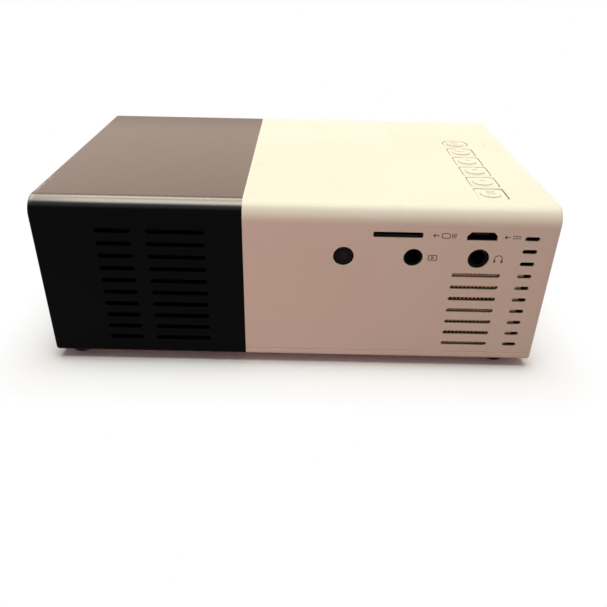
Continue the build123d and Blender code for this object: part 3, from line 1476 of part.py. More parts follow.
with BuildPart() as speaker_magnet:
    with BuildSketch(speaker_plane(speaker_front - speaker_depth)):
        RectangleRounded(magnet_width, speaker_height - 2 * magnet_margin, magnet_corner)
    extrude(amount=magnet_depth)
keep(speaker_magnet, "speaker_magnet")

# Panel ribbon: up through the lid's slot, over and down to its socket on the board
with BuildPart() as panel_ribbon:
    ribbon_x = slot_starts[2] + slot_spans[2] / 2
    ribbon_low = axis_z + plate_height / 2
    ribbon_high = engine_top + lid_thickness + ribbon_rise
    ribbon_end_z = board_top + ribbon_socket_height
    with BuildLine(Plane.XZ) as ribbon_path:
        FilletPolyline(
            (ribbon_x, ribbon_low),
            (ribbon_x, ribbon_high),
            (ribbon_socket_x, ribbon_high),
            (ribbon_socket_x, ribbon_end_z),
            radius=ribbon_bend,
        )
    with BuildSketch(Plane(origin=ribbon_path.line @ 0, x_dir=(0, 1, 0), z_dir=(0, 0, 1))):
        with Locations((mirror_y, 0)):
            Rectangle(ribbon_width, ribbon_thickness)
    sweep(path=ribbon_path.line)
keep(panel_ribbon, "panel_ribbon")

# Wires from the board to the lamp, the fan and the speaker
lamp_wire_y = mirror_y - lamp_board_size / 4
lamp_wire_x = lamp_board_left + lamp_board_thickness / 2
lamp_wire_z = axis_z + lamp_board_size / 2
fan_wire_x = fan_left + fan_depth / 2
fan_wire_y = mirror_y + fan_size / 2
fan_wire_turn_y = fan_wire_y + wire_lead
speaker_wire_x = -speaker_slot_u + magnet_width / 2 - wire_magnet_inset
speaker_wire_side_x = speaker_wire_x + wire_side_step
speaker_wire_y = speaker_front - speaker_depth - magnet_depth
speaker_wire_turn_y = speaker_wire_y - wire_lead
speaker_wire_z = speaker_z + speaker_height / 2
wire_routes = [
    [(lamp_wire_x, lamp_wire_y, lamp_wire_z), (lamp_wire_x, lamp_wire_y, board_bottom)],
    [
        (fan_wire_x, fan_wire_y, axis_z + fan_size / 4),
        (fan_wire_x, fan_wire_turn_y, axis_z + fan_size / 4),
        (fan_wire_x, fan_wire_turn_y, board_bottom),
    ],
    [
        (speaker_wire_x, speaker_wire_y, speaker_z),
        (speaker_wire_x, speaker_wire_turn_y, speaker_z),
        (speaker_wire_x, speaker_wire_turn_y, speaker_wire_z),
        (speaker_wire_side_x, speaker_wire_turn_y, speaker_wire_z),
        (speaker_wire_side_x, speaker_wire_turn_y, board_bottom),
    ],
]
with BuildPart() as wires:
    for route in wire_routes:
        with BuildLine() as wire_path:
            if len(route) > 2:
                FilletPolyline(*route, radius=wire_bend)
            else:
                Line(*route)
        with BuildSketch(Plane(origin=wire_path.line @ 0, z_dir=wire_path.line % 0)):
            Circle(wire_radius)
        sweep(path=wire_path.line)
keep(wires, "wires")
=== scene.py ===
import json
from math import pi, radians

import bpy
import numpy as np
from mathutils import Matrix, Vector


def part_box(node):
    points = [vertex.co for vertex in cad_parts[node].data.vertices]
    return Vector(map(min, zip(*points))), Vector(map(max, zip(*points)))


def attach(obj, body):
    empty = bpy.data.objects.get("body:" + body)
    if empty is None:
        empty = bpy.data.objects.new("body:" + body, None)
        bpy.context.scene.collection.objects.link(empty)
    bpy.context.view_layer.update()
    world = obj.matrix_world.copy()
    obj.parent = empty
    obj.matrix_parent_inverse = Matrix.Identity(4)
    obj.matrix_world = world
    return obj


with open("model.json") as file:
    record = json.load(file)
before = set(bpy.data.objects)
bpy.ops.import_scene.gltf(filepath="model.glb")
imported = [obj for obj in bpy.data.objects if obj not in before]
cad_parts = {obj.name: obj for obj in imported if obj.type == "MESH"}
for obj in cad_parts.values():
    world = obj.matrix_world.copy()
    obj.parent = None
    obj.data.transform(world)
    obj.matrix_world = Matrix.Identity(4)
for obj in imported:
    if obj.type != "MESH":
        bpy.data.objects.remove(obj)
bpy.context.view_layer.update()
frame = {"nodes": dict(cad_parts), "record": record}
mm = 0.001
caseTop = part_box("light_shell")[1][2]
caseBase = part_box("bottom_cover")[0][2]
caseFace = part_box("light_shell")[1][1]       # the face with the sockets; the front is as far out, at -Y
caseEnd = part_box("dark_shell")[1][0]         # the dark end; the pale end is as far out, at -X
caseRound = 4.4 * mm                         # radius of the long top edges
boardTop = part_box("main_board")[1][2]
windowPlace = [(low + high) / 2 for low, high in zip(*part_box("remote_window"))]
print("frame loaded:", len(frame["nodes"]), "nodes")


# one value in a material; an expression on it adds its Math nodes
class Signal:
    def __init__(self, finish, socket):
        self.finish = finish
        self.socket = socket

    def math(self, operation, *values, clamp=False):
        settings = {"operation": operation, "use_clamp": clamp}
        return self.finish.node("ShaderNodeMath", settings, dict(enumerate(values)))

    def __add__(self, other):
        return self.math("ADD", self, other)

    def __radd__(self, other):
        return self.math("ADD", other, self)

    def __sub__(self, other):
        return self.math("SUBTRACT", self, other)

    def __rsub__(self, other):
        return self.math("SUBTRACT", other, self)

    def __mul__(self, other):
        return self.math("MULTIPLY", self, other)

    def __rmul__(self, other):
        return self.math("MULTIPLY", other, self)

    def __pow__(self, other):
        return self.math("POWER", self, other)

    def __abs__(self):
        return self.math("ABSOLUTE", self)

    def above(self, low, high):
        # 0 below low, 1 above high, straight between
        return self.math("MULTIPLY", self - low, 1 / (high - low), clamp=True)

    def past(self, low, high):
        # the same for a place, with low and high in millimetres
        return self.above(low * mm, high * mm)

    def least(self, other):
        return self.math("MINIMUM", self, other)

    def most(self, other):
        return self.math("MAXIMUM", self, other)


# a material under construction: its place signals, its nodes and its shader
class Finish:
    def __init__(self, name, **constants):
        self.material = bpy.data.materials.new(name)
        self.material.use_nodes = True
        self.tree = self.material.node_tree
        self.shader = self.tree.nodes["Principled BSDF"]
        for socket, value in constants.items():
            self.shader.inputs[socket.replace("_", " ")].default_value = value
        self.place = self.node("ShaderNodeTexCoord", output="Object")
        self.x, self.y, self.z = (self.part(self.place, axis) for axis in "XYZ")

    def node(self, kind, settings=None, inputs=None, output=0):
        made = self.tree.nodes.new(kind)
        for name, value in (settings or {}).items():
            setattr(made, name, value)
        for socket, value in (inputs or {}).items():
            if isinstance(value, Signal):
                self.tree.links.new(value.socket, made.inputs[socket])
            else:
                made.inputs[socket].default_value = value
        return Signal(self, made.outputs[output])

    def part(self, vector, axis):
        return self.node("ShaderNodeSeparateXYZ", None, {0: vector}, axis)

    def noise(self, size, detail=3.0, rough=0.5, place=None):
        # size is how far apart the lumps are, in millimetres
        inputs = {"Vector": place or self.place, "Scale": 1 / (size * mm)}
        inputs.update({"Detail": detail, "Roughness": rough})
        return self.node("ShaderNodeTexNoise", None, inputs, "Fac")

    def spots(self, pitch):
        # the distance to the nearest of scattered spots, in pitches; the pitch is in millimetres
        inputs = {"Vector": self.place, "Scale": 1 / (pitch * mm)}
        return self.node("ShaderNodeTexVoronoi", None, inputs, "Distance")

    def bands(self, axis, scale):
        settings = {"bands_direction": axis}
        return self.node("ShaderNodeTexWave", settings, {"Vector": self.place, "Scale": scale}, "Fac")

    def stretched(self, along):
        # the place, squeezed so that a noise on it runs along one axis
        return self.node("ShaderNodeMapping", None, {"Vector": self.place, "Scale": along})

    def blend(self, factor, low, high):
        settings = {"data_type": "RGBA"}
        low, high = ((*shade, 1) if isinstance(shade, tuple) else shade for shade in (low, high))
        return self.node("ShaderNodeMix", settings, {0: factor, 6: low, 7: high}, 2)

    def bump(self, height, distance, strength=1.0):
        # distance is the relief's height in millimetres
        inputs = {"Height": height, "Distance": distance * mm, "Strength": strength}
        self.feed("Normal", self.node("ShaderNodeBump", None, inputs))

    def feed(self, socket, value):
        self.tree.links.new(value.socket, self.shader.inputs[socket])

    def depth(self):
        # how far a point lies under the case's skin, at most the radius of its long edges: the least of its
        # depths under the rounded section, the ends and the underside; the section's is
        # radius - length(max(q, 0)), with q from the middle of the rounded edge
        across = (abs(self.y) - (caseFace - caseRound)).most(0)
        up = (self.z - (caseTop - caseRound)).most(0)
        section = caseRound - (across ** 2 + up ** 2) ** 0.5
        return section.least(caseEnd - abs(self.x)).least(self.z - caseBase)


def linear(shades):
    # a screen colour from 0 to 255 as the renderer's own light values
    shades = np.array(shades) / 255
    curve = np.where(shades > 0.04045, ((shades + 0.055) / 1.055) ** 2.4, shades / 12.92)
    return tuple(float(shade) for shade in curve)


# sizes and places in millimetres, colours as they look on a screen; a pair says where something starts to
# show and where it is full
paleShell = {
    "skin": (250, 249, 228), "warm": (248, 244, 220), "worn": (232, 222, 200), "rough": 0.42,
    # the inside colours are painted shade in the slots and holes, darkest by the upper sockets; the post
    # colour is a painted highlight on the screw post
    "insideShade": (84, 56, 42), "portShade": (38, 22, 15), "post": (226, 208, 184),
    "driftSize": 45, "cloudSize": 7, "grainSize": 0.28, "grainDepth": 0.012, "wornShare": 0.35,
    "insideDepth": (0.28, 0.75), "portRise": (26.1, 26.6), "portUnder": (3.3, 4.8),
    "postIn": 8.3, "postHalf": (2.4, 2.6), "postRise": (25.6, 26.1),
    "postFrom": (1.12, 1.14), "postTo": (8, 9),
}


def makePalePlastic(name, values):
    # satin moulded plastic: fine spark grain, a faint warm drift, duller places where it is handled; inside
    # its slots and holes painted shade, darkest round the upper sockets, and a painted highlight on the
    # screw posts
    finish = Finish(name, IOR=1.28)
    drift = finish.noise(values["driftSize"], detail=2)
    cloud = finish.noise(values["cloudSize"], detail=3, rough=0.6)
    grain = finish.noise(values["grainSize"], detail=2)
    colour = finish.blend(drift.above(0.35, 0.7), linear(values["skin"]), linear(values["warm"]))
    handled = cloud.above(0.58, 0.8) * values["wornShare"] * grain
    skin = finish.blend(handled, colour, linear(values["worn"]))
    # painted shade: the colour darkens a fraction of a millimetre under the skin, inside slots and holes
    inside = finish.depth().past(*values["insideDepth"])
    paleIn = finish.x + caseEnd                    # in from the pale end
    behind = caseFace - abs(finish.y)              # in from the long faces
    rise = finish.z - caseBase                     # up from the base
    under = caseTop - finish.z                     # down from the top
    # painted highlight: a paler patch on the screw post behind the short slots, where light comes in through
    # them, fading lower down
    post = 1 - abs(paleIn - values["postIn"] * mm).past(*values["postHalf"])
    post = post * behind.past(*values["postFrom"]) * (1 - behind.past(*values["postTo"]))
    post = post * (1 - rise.past(*values["postRise"]))
    # painted shade, darker still round the upper sockets
    port = rise.past(*values["portRise"]) * under.past(*values["portUnder"])
    deep = finish.blend(port, linear(values["insideShade"]), linear(values["portShade"]))
    deep = finish.blend(post, deep, linear(values["post"]))
    finish.feed("Base Color", finish.blend(inside, skin, deep))
    finish.feed("Roughness", values["rough"] + (grain - 0.5) * 0.12 + (cloud - 0.5) * 0.1)
    finish.bump(grain, values["grainDepth"], strength=0.5)
    return finish.material


darkShell = {
    # the brown over the top is a painted sheen
    "skin": (5, 4, 4), "paintedSheen": (68, 48, 33), "dust": (46, 41, 37), "scuff": (176, 172, 160), "rough": 0.26,
    "grainSize": 0.3, "grainDepth": 0.01, "cloudSize": 9, "speckPitch": 1.6, "speckRadius": 0.16,
    "sheenDepth": (0.1, 1.2), "sheenFront": (-40, -30), "chipSize": 1.1, "chipStretch": (1, 0.45, 1.6),
    "scuffIn": (0.3, 1.6), "scuffDown": (0.25, 1.5), "scuffCorner": (18, 40),
    "heldFront": (-43, -22), "heldRear": (-24, 30), "edgeDepth": (0.01, 0.12), "polishDepth": (0.8, 2.1),
}


def makeDarkPlastic(name, values):
    # black satin plastic: grain, a little dust, a brown painted sheen over the top, a polish where it is
    # held, and scuffs where the end's top edge has been knocked
    finish = Finish(name, IOR=1.12, Coat_IOR=1.5, Coat_Roughness=0.18)
    grain = finish.noise(values["grainSize"], detail=2)
    cloud = finish.noise(values["cloudSize"], detail=4, rough=0.62)
    specks = (values["speckRadius"] - finish.spots(values["speckPitch"])).above(0.0, 0.1)
    dust = specks * cloud.above(0.52, 0.7)
    edge = caseEnd - finish.x                      # in from the dark end
    under = caseTop - finish.z                     # down from the top
    # painted sheen: the flat top and the start of its rounded edges are painted brown, patchy and weaker
    # towards the front
    patchy = (0.8 + cloud * 0.3) * (0.75 + finish.y.past(*values["sheenFront"]) * 0.25)
    sheenOnTop = (1 - under.past(*values["sheenDepth"])) * patchy
    skin = finish.blend(sheenOnTop, linear(values["skin"]), linear(values["paintedSheen"]))
    colour = finish.blend(dust * 0.5, skin, linear(values["dust"]))
    chips = finish.noise(values["chipSize"], 5, 0.7, finish.stretched(values["chipStretch"]))
    band = (1 - edge.past(*values["scuffIn"])) * (1 - under.past(*values["scuffDown"]))
    scuffs = band * (chips + finish.y.past(*values["scuffCorner"]) * 0.24).above(0.6, 0.68)
    finish.feed("Base Color", finish.blend(scuffs, colour, linear(values["scuff"])))
    finish.feed("Roughness", values["rough"] + (grain - 0.5) * 0.1 + cloud * 0.06 + scuffs * 0.3)
    held = 0.12 + finish.y.past(*values["heldFront"]) * 0.22 + finish.y.past(*values["heldRear"]) * 0.15
    rounded = under.past(*values["edgeDepth"])     # the long edges, rubbed brighter than the flat
    polish = held + rounded * (1 - held)
    finish.feed("Coat Weight", polish * (1 - under.past(*values["polishDepth"])))
    finish.bump(grain + scuffs * chips * 2, values["grainDepth"], strength=0.5)
    return finish.material


plastics = {
    "engine_plastic": {"skin": (34, 34, 36), "rough": 0.62, "grainSize": 0.4, "grainDepth": 0.03},
    "lens_plastic": {"skin": (24, 23, 23), "rough": 0.46, "grainSize": 0.25, "grainDepth": 0.015},
    "foot_rubber": {"skin": (38, 36, 35), "rough": 0.8, "grainSize": 0.5, "grainDepth": 0.05},
    "socket_black": {"skin": (7, 7, 7), "rough": 0.5, "grainDepth": 0.015, "ior": 1.15},
    "lamp_clear": {"skin": (226, 204, 190), "rough": 0.3, "grainSize": 0.4, "grainDepth": 0.01},
    "panel_frame": {"skin": (30, 30, 32), "rough": 0.55},
    "fan_plastic": {"skin": (22, 22, 24), "rough": 0.5, "grainSize": 0.35},
    "speaker_cone": {"skin": (28, 26, 26), "rough": 0.85, "grainSize": 0.35, "grainDepth": 0.06,
                     "mottle": 0.3},
    "magnet_black": {"skin": (44, 43, 44), "rough": 0.7, "grainSize": 0.2},
    "ribbon_amber": {"skin": (196, 118, 38), "rough": 0.36, "grainSize": 0.4, "grainDepth": 0.01},
    "wire_red": {"skin": (168, 28, 24), "rough": 0.42, "grainSize": 0.4, "grainDepth": 0.01},
}


def makePlastic(name, skin, rough, grainSize=0.3, grainDepth=0.02, mottle=0.12, ior=1.45):
    # plain moulded plastic or rubber: grain, and a light and dark drift a few millimetres wide
    finish = Finish(name, IOR=ior)
    grain = finish.noise(grainSize)
    drift = finish.noise(5, rough=0.6)
    darker = tuple(part * (1 - mottle) for part in linear(skin))
    lighter = tuple(min(1, part * (1 + mottle) + 0.004) for part in linear(skin))
    finish.feed("Base Color", finish.blend(drift.above(0.3, 0.7), darker, lighter))
    finish.feed("Roughness", rough + (grain - 0.5) * 0.2)
    finish.bump(grain, grainDepth, strength=0.6)
    return finish.material


metals = {
    "screw_steel": {"skin": (188, 188, 190), "rough": 0.34},
    "insert_brass": {"skin": (214, 178, 104), "rough": 0.32, "tarnish": (140, 104, 52)},
    # the tin sockets' inside colour is painted shade deep in their mouths
    "socket_tin": {"skin": (196, 196, 194), "rough": 0.3, "along": (0.1, 1, 1), "insideShade": (36, 23, 19)},
    "sink_aluminium": {"skin": (202, 204, 206), "rough": 0.36, "along": (0.06, 1, 1), "lineSize": 0.2},
    "lamp_board": {"skin": (214, 214, 210), "rough": 0.42, "lineSize": 0.3},
    "speaker_steel": {"skin": (150, 150, 152), "rough": 0.4},
    "mesh_steel": {"skin": (206, 166, 138), "rough": 0.5, "tarnish": (140, 108, 88)},
}


def makeMetal(name, skin, rough, along=(1, 1, 1), lineSize=0.12, tarnish=(120, 112, 100), insideShade=None):
    # bright metal with fine lines that run along one axis, and dull clouds; with an inside colour it has
    # painted shade, dark well inside the case
    finish = Finish(name)
    lines = finish.noise(lineSize, 3, 0.6, finish.stretched(along))
    cloud = finish.noise(4, rough=0.6)
    finish.feed("Metallic", 1 - cloud.above(0.68, 0.9) * 0.3)
    colour = finish.blend(cloud.above(0.5, 0.85) * 0.5, linear(skin), linear(tarnish))
    if insideShade:
        # painted shade deep in the socket mouths
        colour = finish.blend(finish.depth().past(0.7, 1.5), colour, linear(insideShade))
    finish.feed("Base Color", colour)
    finish.feed("Roughness", rough + (lines - 0.5) * 0.25)
    finish.bump(lines, 0.006, strength=0.5)
    return finish.material


clearPlate = {"tint": (236, 242, 240), "rough": 0.02, "smearSize": 6, "speckSize": 0.5}


def makeGlass(name, values):
    # clear glass or acrylic: dust in specks, and smears that dull it a little
    finish = Finish(name, IOR=1.5, Transmission_Weight=0.96)
    smear = finish.noise(values["smearSize"], detail=4, rough=0.6)
    specks = finish.noise(values["speckSize"], detail=2)
    tint = linear(values["tint"])
    finish.feed("Base Color", finish.blend(smear, tint, tuple(part * 0.96 for part in tint)))
    finish.feed("Roughness", values["rough"] + smear.above(0.55, 0.8) * 0.05 + specks.above(0.7, 0.8) * 0.06)
    return finish.material


# the lens glass's colours are light values, from 0 to 1
lensGlass = {"bloom": (0.62, 0.5, 1.0), "clear": (0.8, 0.86, 0.9), "smeared": (0.72, 0.78, 0.9),
             "rough": 0.015, "smearSize": 5}


def makeLensGlass(name, values):
    # coated glass: a dark violet-blue bloom over clear glass
    finish = Finish(name, IOR=1.6, Transmission_Weight=0.9, Coat_Weight=0.6, Coat_Roughness=0.03,
                    Coat_Tint=(*values["bloom"], 1))
    smear = finish.noise(values["smearSize"], detail=4, rough=0.6)
    finish.feed("Base Color", finish.blend(smear.above(0.4, 0.7), values["clear"], values["smeared"]))
    finish.feed("Roughness", values["rough"] + smear.above(0.55, 0.8) * 0.04)
    return finish.material


greenBoard = {"varnish": (14, 74, 42), "track": (34, 120, 66), "plated": (190, 170, 110), "rough": 0.34,
              "trackSize": 3.2, "crossingSize": 3.6, "holePitch": 4.2, "trackRise": 0.02}


def makeBoard(name, values):
    # green board: copper tracks run under the varnish, with plated holes along them
    finish = Finish(name, IOR=1.5, Coat_Weight=0.3)
    tracks = finish.noise(values["trackSize"], 1, 0.3, finish.stretched((1, 0.12, 1)))
    crossing = finish.noise(values["crossingSize"], 1, 0.3, finish.stretched((0.12, 1, 1)))
    bare = abs(tracks - 0.5).above(0.012, 0.02) * abs(crossing - 0.52).above(0.012, 0.02)
    around = finish.spots(values["holePitch"]).above(0.1, 0.12)
    colour = finish.blend(bare, linear(values["track"]), linear(values["varnish"]))
    finish.feed("Base Color", finish.blend(around, linear(values["plated"]), colour))
    finish.feed("Roughness", values["rough"] + finish.noise(0.4, detail=2) * 0.12)
    finish.bump(bare * around, values["trackRise"], strength=0.4)
    return finish.material


chipBlack = {"moulded": (22, 22, 24), "greyed": (38, 38, 40), "solder": (188, 188, 186), "rough": 0.35,
             "solderTop": (0.15, 0.4), "solderSize": 0.9, "driftSize": 1.5}


def makeChips(name, values):
    # soldered parts: moulded black with bright solder round their feet
    finish = Finish(name, IOR=1.5)
    body = (finish.z - boardTop).past(*values["solderTop"])
    solder = finish.noise(values["solderSize"], detail=2)
    drift = finish.noise(values["driftSize"])
    moulded = finish.blend(drift, linear(values["moulded"]), linear(values["greyed"]))
    finish.feed("Base Color", finish.blend(body, linear(values["solder"]), moulded))
    finish.feed("Metallic", (1 - body) * 0.9)
    finish.feed("Roughness", values["rough"] + body * 0.15)
    finish.bump(solder, 0.03, strength=0.3)
    return finish.material


remoteWindow = {"skin": (14, 10, 10), "eye": (46, 38, 40), "rough": 0.16, "eyeRadius": (0.5, 1.5),
                "swirlSize": 1.4}


def makeWindow(name, values):
    # the dark window over the receiver's eye: black glass-like acrylic, a little paler before the eye
    finish = Finish(name, IOR=1.16, Coat_Roughness=0.1)
    across = ((finish.x - windowPlace[0]) ** 2 + (finish.z - windowPlace[2]) ** 2) ** 0.5
    eye = 1 - across.past(*values["eyeRadius"])
    swirl = finish.noise(values["swirlSize"])
    finish.feed("Base Color", finish.blend(eye * 0.7, linear(values["skin"]), linear(values["eye"])))
    finish.feed("Roughness", values["rough"] + swirl * 0.1)
    finish.bump(swirl, 0.02, strength=0.25)
    return finish.material


picturePanel = {"gap": (26, 28, 32), "cell": (60, 64, 72), "rough": 0.12, "cellScale": 900.0}


def makePanel(name, values):
    # the picture panel: dark grey glass with a fine grid of cells
    finish = Finish(name, IOR=1.5, Transmission_Weight=0.35)
    cells = finish.bands("Y", values["cellScale"])
    rows = finish.bands("Z", values["cellScale"])
    finish.feed("Base Color", finish.blend(cells * rows, linear(values["gap"]), linear(values["cell"])))
    finish.feed("Roughness", values["rough"] + cells * 0.05)
    return finish.material


lampPhosphor = {"skin": (232, 198, 60), "crust": (240, 216, 110), "rough": 0.4, "grainSize": 0.2}


def makePhosphor(name, values):
    # the lamp's emitter: yellow phosphor under clear resin, off
    finish = Finish(name, IOR=1.45, Coat_Weight=0.7)
    grain = finish.noise(values["grainSize"])
    finish.feed("Base Color", finish.blend(grain, linear(values["skin"]), linear(values["crust"])))
    finish.feed("Roughness", values["rough"] + grain * 0.2)
    finish.bump(grain, 0.03, strength=0.5)
    return finish.material


mirrorSilver = {"clean": (236, 238, 240), "hazed": (222, 226, 230), "rough": 0.03, "hazeSize": 8}


def makeMirror(name, values):
    # front-silvered mirror with a slight haze
    finish = Finish(name)
    haze = finish.noise(values["hazeSize"])
    finish.feed("Metallic", 1 - haze.above(0.8, 0.95) * 0.2)
    finish.feed("Base Color", finish.blend(haze, linear(values["clean"]), linear(values["hazed"])))
    finish.feed("Roughness", values["rough"] + haze.above(0.6, 0.9) * 0.05)
    return finish.material


finishes = {
    "pale_plastic": makePalePlastic("pale_plastic", paleShell),
    "key_plastic": makePalePlastic("key_plastic", {**paleShell, "rough": 0.36}),
    "dark_plastic": makeDarkPlastic("dark_plastic", darkShell),
    "board_green": makeBoard("board_green", greenBoard),
    "chip_black": makeChips("chip_black", chipBlack),
    "window_dark": makeWindow("window_dark", remoteWindow),
    "lens_glass": makeLensGlass("lens_glass", lensGlass),
    "plate_clear": makeGlass("plate_clear", clearPlate),
    "panel_dark": makePanel("panel_dark", picturePanel),
    "mirror_silver": makeMirror("mirror_silver", mirrorSilver),
    "lamp_phosphor": makePhosphor("lamp_phosphor", lampPhosphor),
}
finishes.update({name: makePlastic(name, **values) for name, values in plastics.items()})
finishes.update({name: makeMetal(name, **values) for name, values in metals.items()})

slotOf = {entry["node"]: entry["material_slot"] for entry in frame["record"]["subparts"]}
for name, node in frame["nodes"].items():
    node.data.materials.clear()
    node.data.materials.append(finishes[slotOf[name]])
print("finishes on the frame:", len(finishes))


def addToCase(name, corners, faces, material):
    # a new piece of the case, from its corners in millimetres
    mesh = bpy.data.meshes.new(name)
    mesh.from_pydata((corners * mm).tolist(), [], faces)
    mesh.materials.append(material)
    piece = bpy.data.objects.new(name, mesh)
    bpy.context.scene.collection.objects.link(piece)
    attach(piece, "projector_case")


# in from the pale end, in from the face with the sockets, and up from the base
slotRib = {"low": (6.1, 3.0, 6.3), "high": (8.1, 1.15, 24.9)}


def makeRib():
    # the screw post's rib, close behind the left half of the short slots: a box whose corners are
    # low + pick * (high - low), where each pick has a 0 or a 1 for every axis
    start = np.array((-caseEnd, caseFace, caseBase)) / mm
    low, high = (start + np.array(slotRib[end]) * (1, -1, 1) for end in ("low", "high"))
    picks = np.array([(i, j, k) for i in (0, 1) for j in (0, 1) for k in (0, 1)])
    faces = [(0, 1, 3, 2), (4, 6, 7, 5), (0, 4, 5, 1), (2, 3, 7, 6), (0, 2, 6, 4), (1, 5, 7, 3)]
    addToCase("slot_rib", low + picks * (high - low), faces, finishes["pale_plastic"])


makeRib()
print("rib made")

# small printed marks on the rear face, in place of lettering: u runs right as seen from behind, w runs up
printInk = {"skin": (52, 40, 36), "worn": (112, 92, 82), "rough": 0.5, "wearSize": 0.35, "proud": 0.001,
            "line": 0.2}


def inkFinish(values):
    # thin dark ink that has worn a little, so the plastic shows through in specks
    finish = Finish("print_ink", IOR=1.45)
    wear = finish.noise(values["wearSize"], rough=0.6)
    shade = finish.blend(wear.above(0.56, 0.74), linear(values["skin"]), linear(values["worn"]))
    finish.feed("Base Color", shade)
    finish.feed("Roughness", values["rough"] + wear * 0.2)
    return finish.material


printFinish = inkFinish(printInk)


def strip(points, width=printInk["line"]):
    # a flat strip carried along a path on the rear face: each point is moved out by half the width along the
    # path's own normal, on both sides
    path = np.array(points, float)
    runs = np.gradient(path, axis=0)
    runs /= np.linalg.norm(runs, axis=1)[:, None]
    out = np.stack([-runs[:, 1], runs[:, 0]], 1) * width / 2
    return path + out, path - out


def outline(points):
    # a strip for each side of a shape
    return [strip(side) for side in zip(points, points[1:])]


def arcPoints(middle, radius, start, end, count=24):
    # points on a circle between two angles in degrees
    turn = np.radians(np.linspace(start, end, count))
    return np.stack([middle[0] + radius * np.cos(turn), middle[1] + radius * np.sin(turn)], 1)


def makePrint(name, strips):
    # every strip is a closed ribbon: its front stands just proud of the face and its back lies as far inside
    # it; it has four rails, at its left front, right front, left back and right back
    corners, faces, start = [], [], 0
    front, back = (caseFace / mm + side * printInk["proud"] for side in (1, -1))
    for edges in strips:
        count = len(edges[0])
        for y in (front, back):
            corners += [np.column_stack([-edge[:, 0], np.full(count, y), edge[:, 1]]) for edge in edges]
        rails = start + np.arange(4 * count).reshape(4, count)
        for one, two in ((1, 0), (0, 2), (3, 1), (2, 3)):
            faces += np.stack([rails[one, :-1], rails[one, 1:], rails[two, 1:], rails[two, :-1]], 1).tolist()
        faces += [rails[[2, 3, 1, 0], 0].tolist(), rails[[1, 3, 2, 0], -1].tolist()]
        start += 4 * count
    addToCase(name, np.concatenate(corners), faces, printFinish)


arrowHead = {"length": 0.5, "half": 0.42, "lapU": 0.02, "lapW": 0.05}


def arrow(u, w, shaft):
    # a shaft and the two strokes of its head, which cross at its left end
    strokes = [strip([(u, w), (u + shaft, w)])]
    for side in (1, -1):
        tip = (u + arrowHead["lapU"], w - side * arrowHead["lapW"])
        strokes.append(strip([tip, (u + arrowHead["length"], w + side * arrowHead["half"])]))
    return strokes


cardPrint = {"u": 33.0, "drop": 7.0, "shaft": 1.5, "left": 2.1, "right": 4.0, "half": 0.58, "cut": 0.4,
             "contacts": 4.55, "contactPitch": 0.4}


def cardMark(values):
    # an arrow towards the slot, a card with a cut corner, and its contacts
    u, w = values["u"], caseTop / mm - values["drop"]
    left, right, cut = u + values["left"], u + values["right"], values["cut"]
    low, high = w - values["half"], w + values["half"]
    card = [(left, low), (right, low), (right, high - cut), (right - cut, high), (left, high), (left, low)]
    contactUs = [u + values["contacts"] + values["contactPitch"] * k for k in range(3)]
    contacts = [strip([(at, low), (at, high)]) for at in contactUs]
    return arrow(u, w, values["shaft"]) + outline(card) + contacts


powerPrint = {"u": 50.0, "drop": 7.1, "shaft": 1.3, "bar": (1.9, 3.9), "half": 0.26, "dash": 0.56,
              "dashPitch": 0.72}


def powerMark(values):
    # direct current: a bar over three short ones, and an arrow towards the socket
    u, w = values["u"], caseTop / mm - values["drop"]
    left, right = (u + end for end in values["bar"])
    low, high = w - values["half"], w + values["half"]
    dashUs = [left + values["dashPitch"] * k for k in range(3)]
    dashes = [strip([(at, low), (at + values["dash"], low)]) for at in dashUs]
    return arrow(u, w, values["shaft"]) + [strip([(left, high), (right, high)])] + dashes


picturePrint = {"u": 32.5, "drop": 12.8, "width": 2.0, "half": 0.62, "playLeft": 0.75, "playTip": 1.35,
                "playHalf": 0.3, "lap": 0.03}


def pictureMark(values):
    # a screen with a play arrow on it
    u, w, half = values["u"], caseTop / mm - values["drop"], values["half"]
    right, low, high = u + values["width"], w - half, w + half
    back, tip, rise = u + values["playLeft"], u + values["playTip"], values["playHalf"]
    play = [strip([(back, w - rise), (back, w + rise)])]
    play += [strip([(back - values["lap"], w + side * rise), (tip, w)]) for side in (1, -1)]
    return outline([(u, low), (right, low), (right, high), (u, high), (u, low)]) + play


soundPrint = {"u": 49.45, "drop": 12.85, "radius": 0.95, "from": -20, "to": 200, "padOut": 0.88,
              "padLow": 0.95, "padHigh": 0.2, "padWidth": 0.42}


def headphoneMark(values):
    # a band over the head and a pad at each ear
    u, w = values["u"], caseTop / mm - values["drop"]
    low, high = w - values["padLow"], w - values["padHigh"]
    padUs = [u + side * values["padOut"] for side in (-1, 1)]
    band = strip(arcPoints((u, w), values["radius"], values["from"], values["to"]))
    return [band] + [strip([(at, low), (at, high)], values["padWidth"]) for at in padUs]


makePrint("card_mark", cardMark(cardPrint))
makePrint("power_mark", powerMark(powerPrint))
makePrint("picture_mark", pictureMark(picturePrint))
makePrint("headphone_mark", headphoneMark(soundPrint))
print("printed marks made")

# floor and backdrop, in metres; the colours are light values
stage = {"floorSize": 4.0, "floorNear": (0.86, 0.46, 0.52), "floorFar": (0.28, 0.12, 0.13),
         "floorSeen": (0.95, 0.95, 0.95), "floorTurn": (-0.09, 0.09), "whiteReach": (0.001, 0.02),
         "fill": (0.285, 0.237, 0.232)}


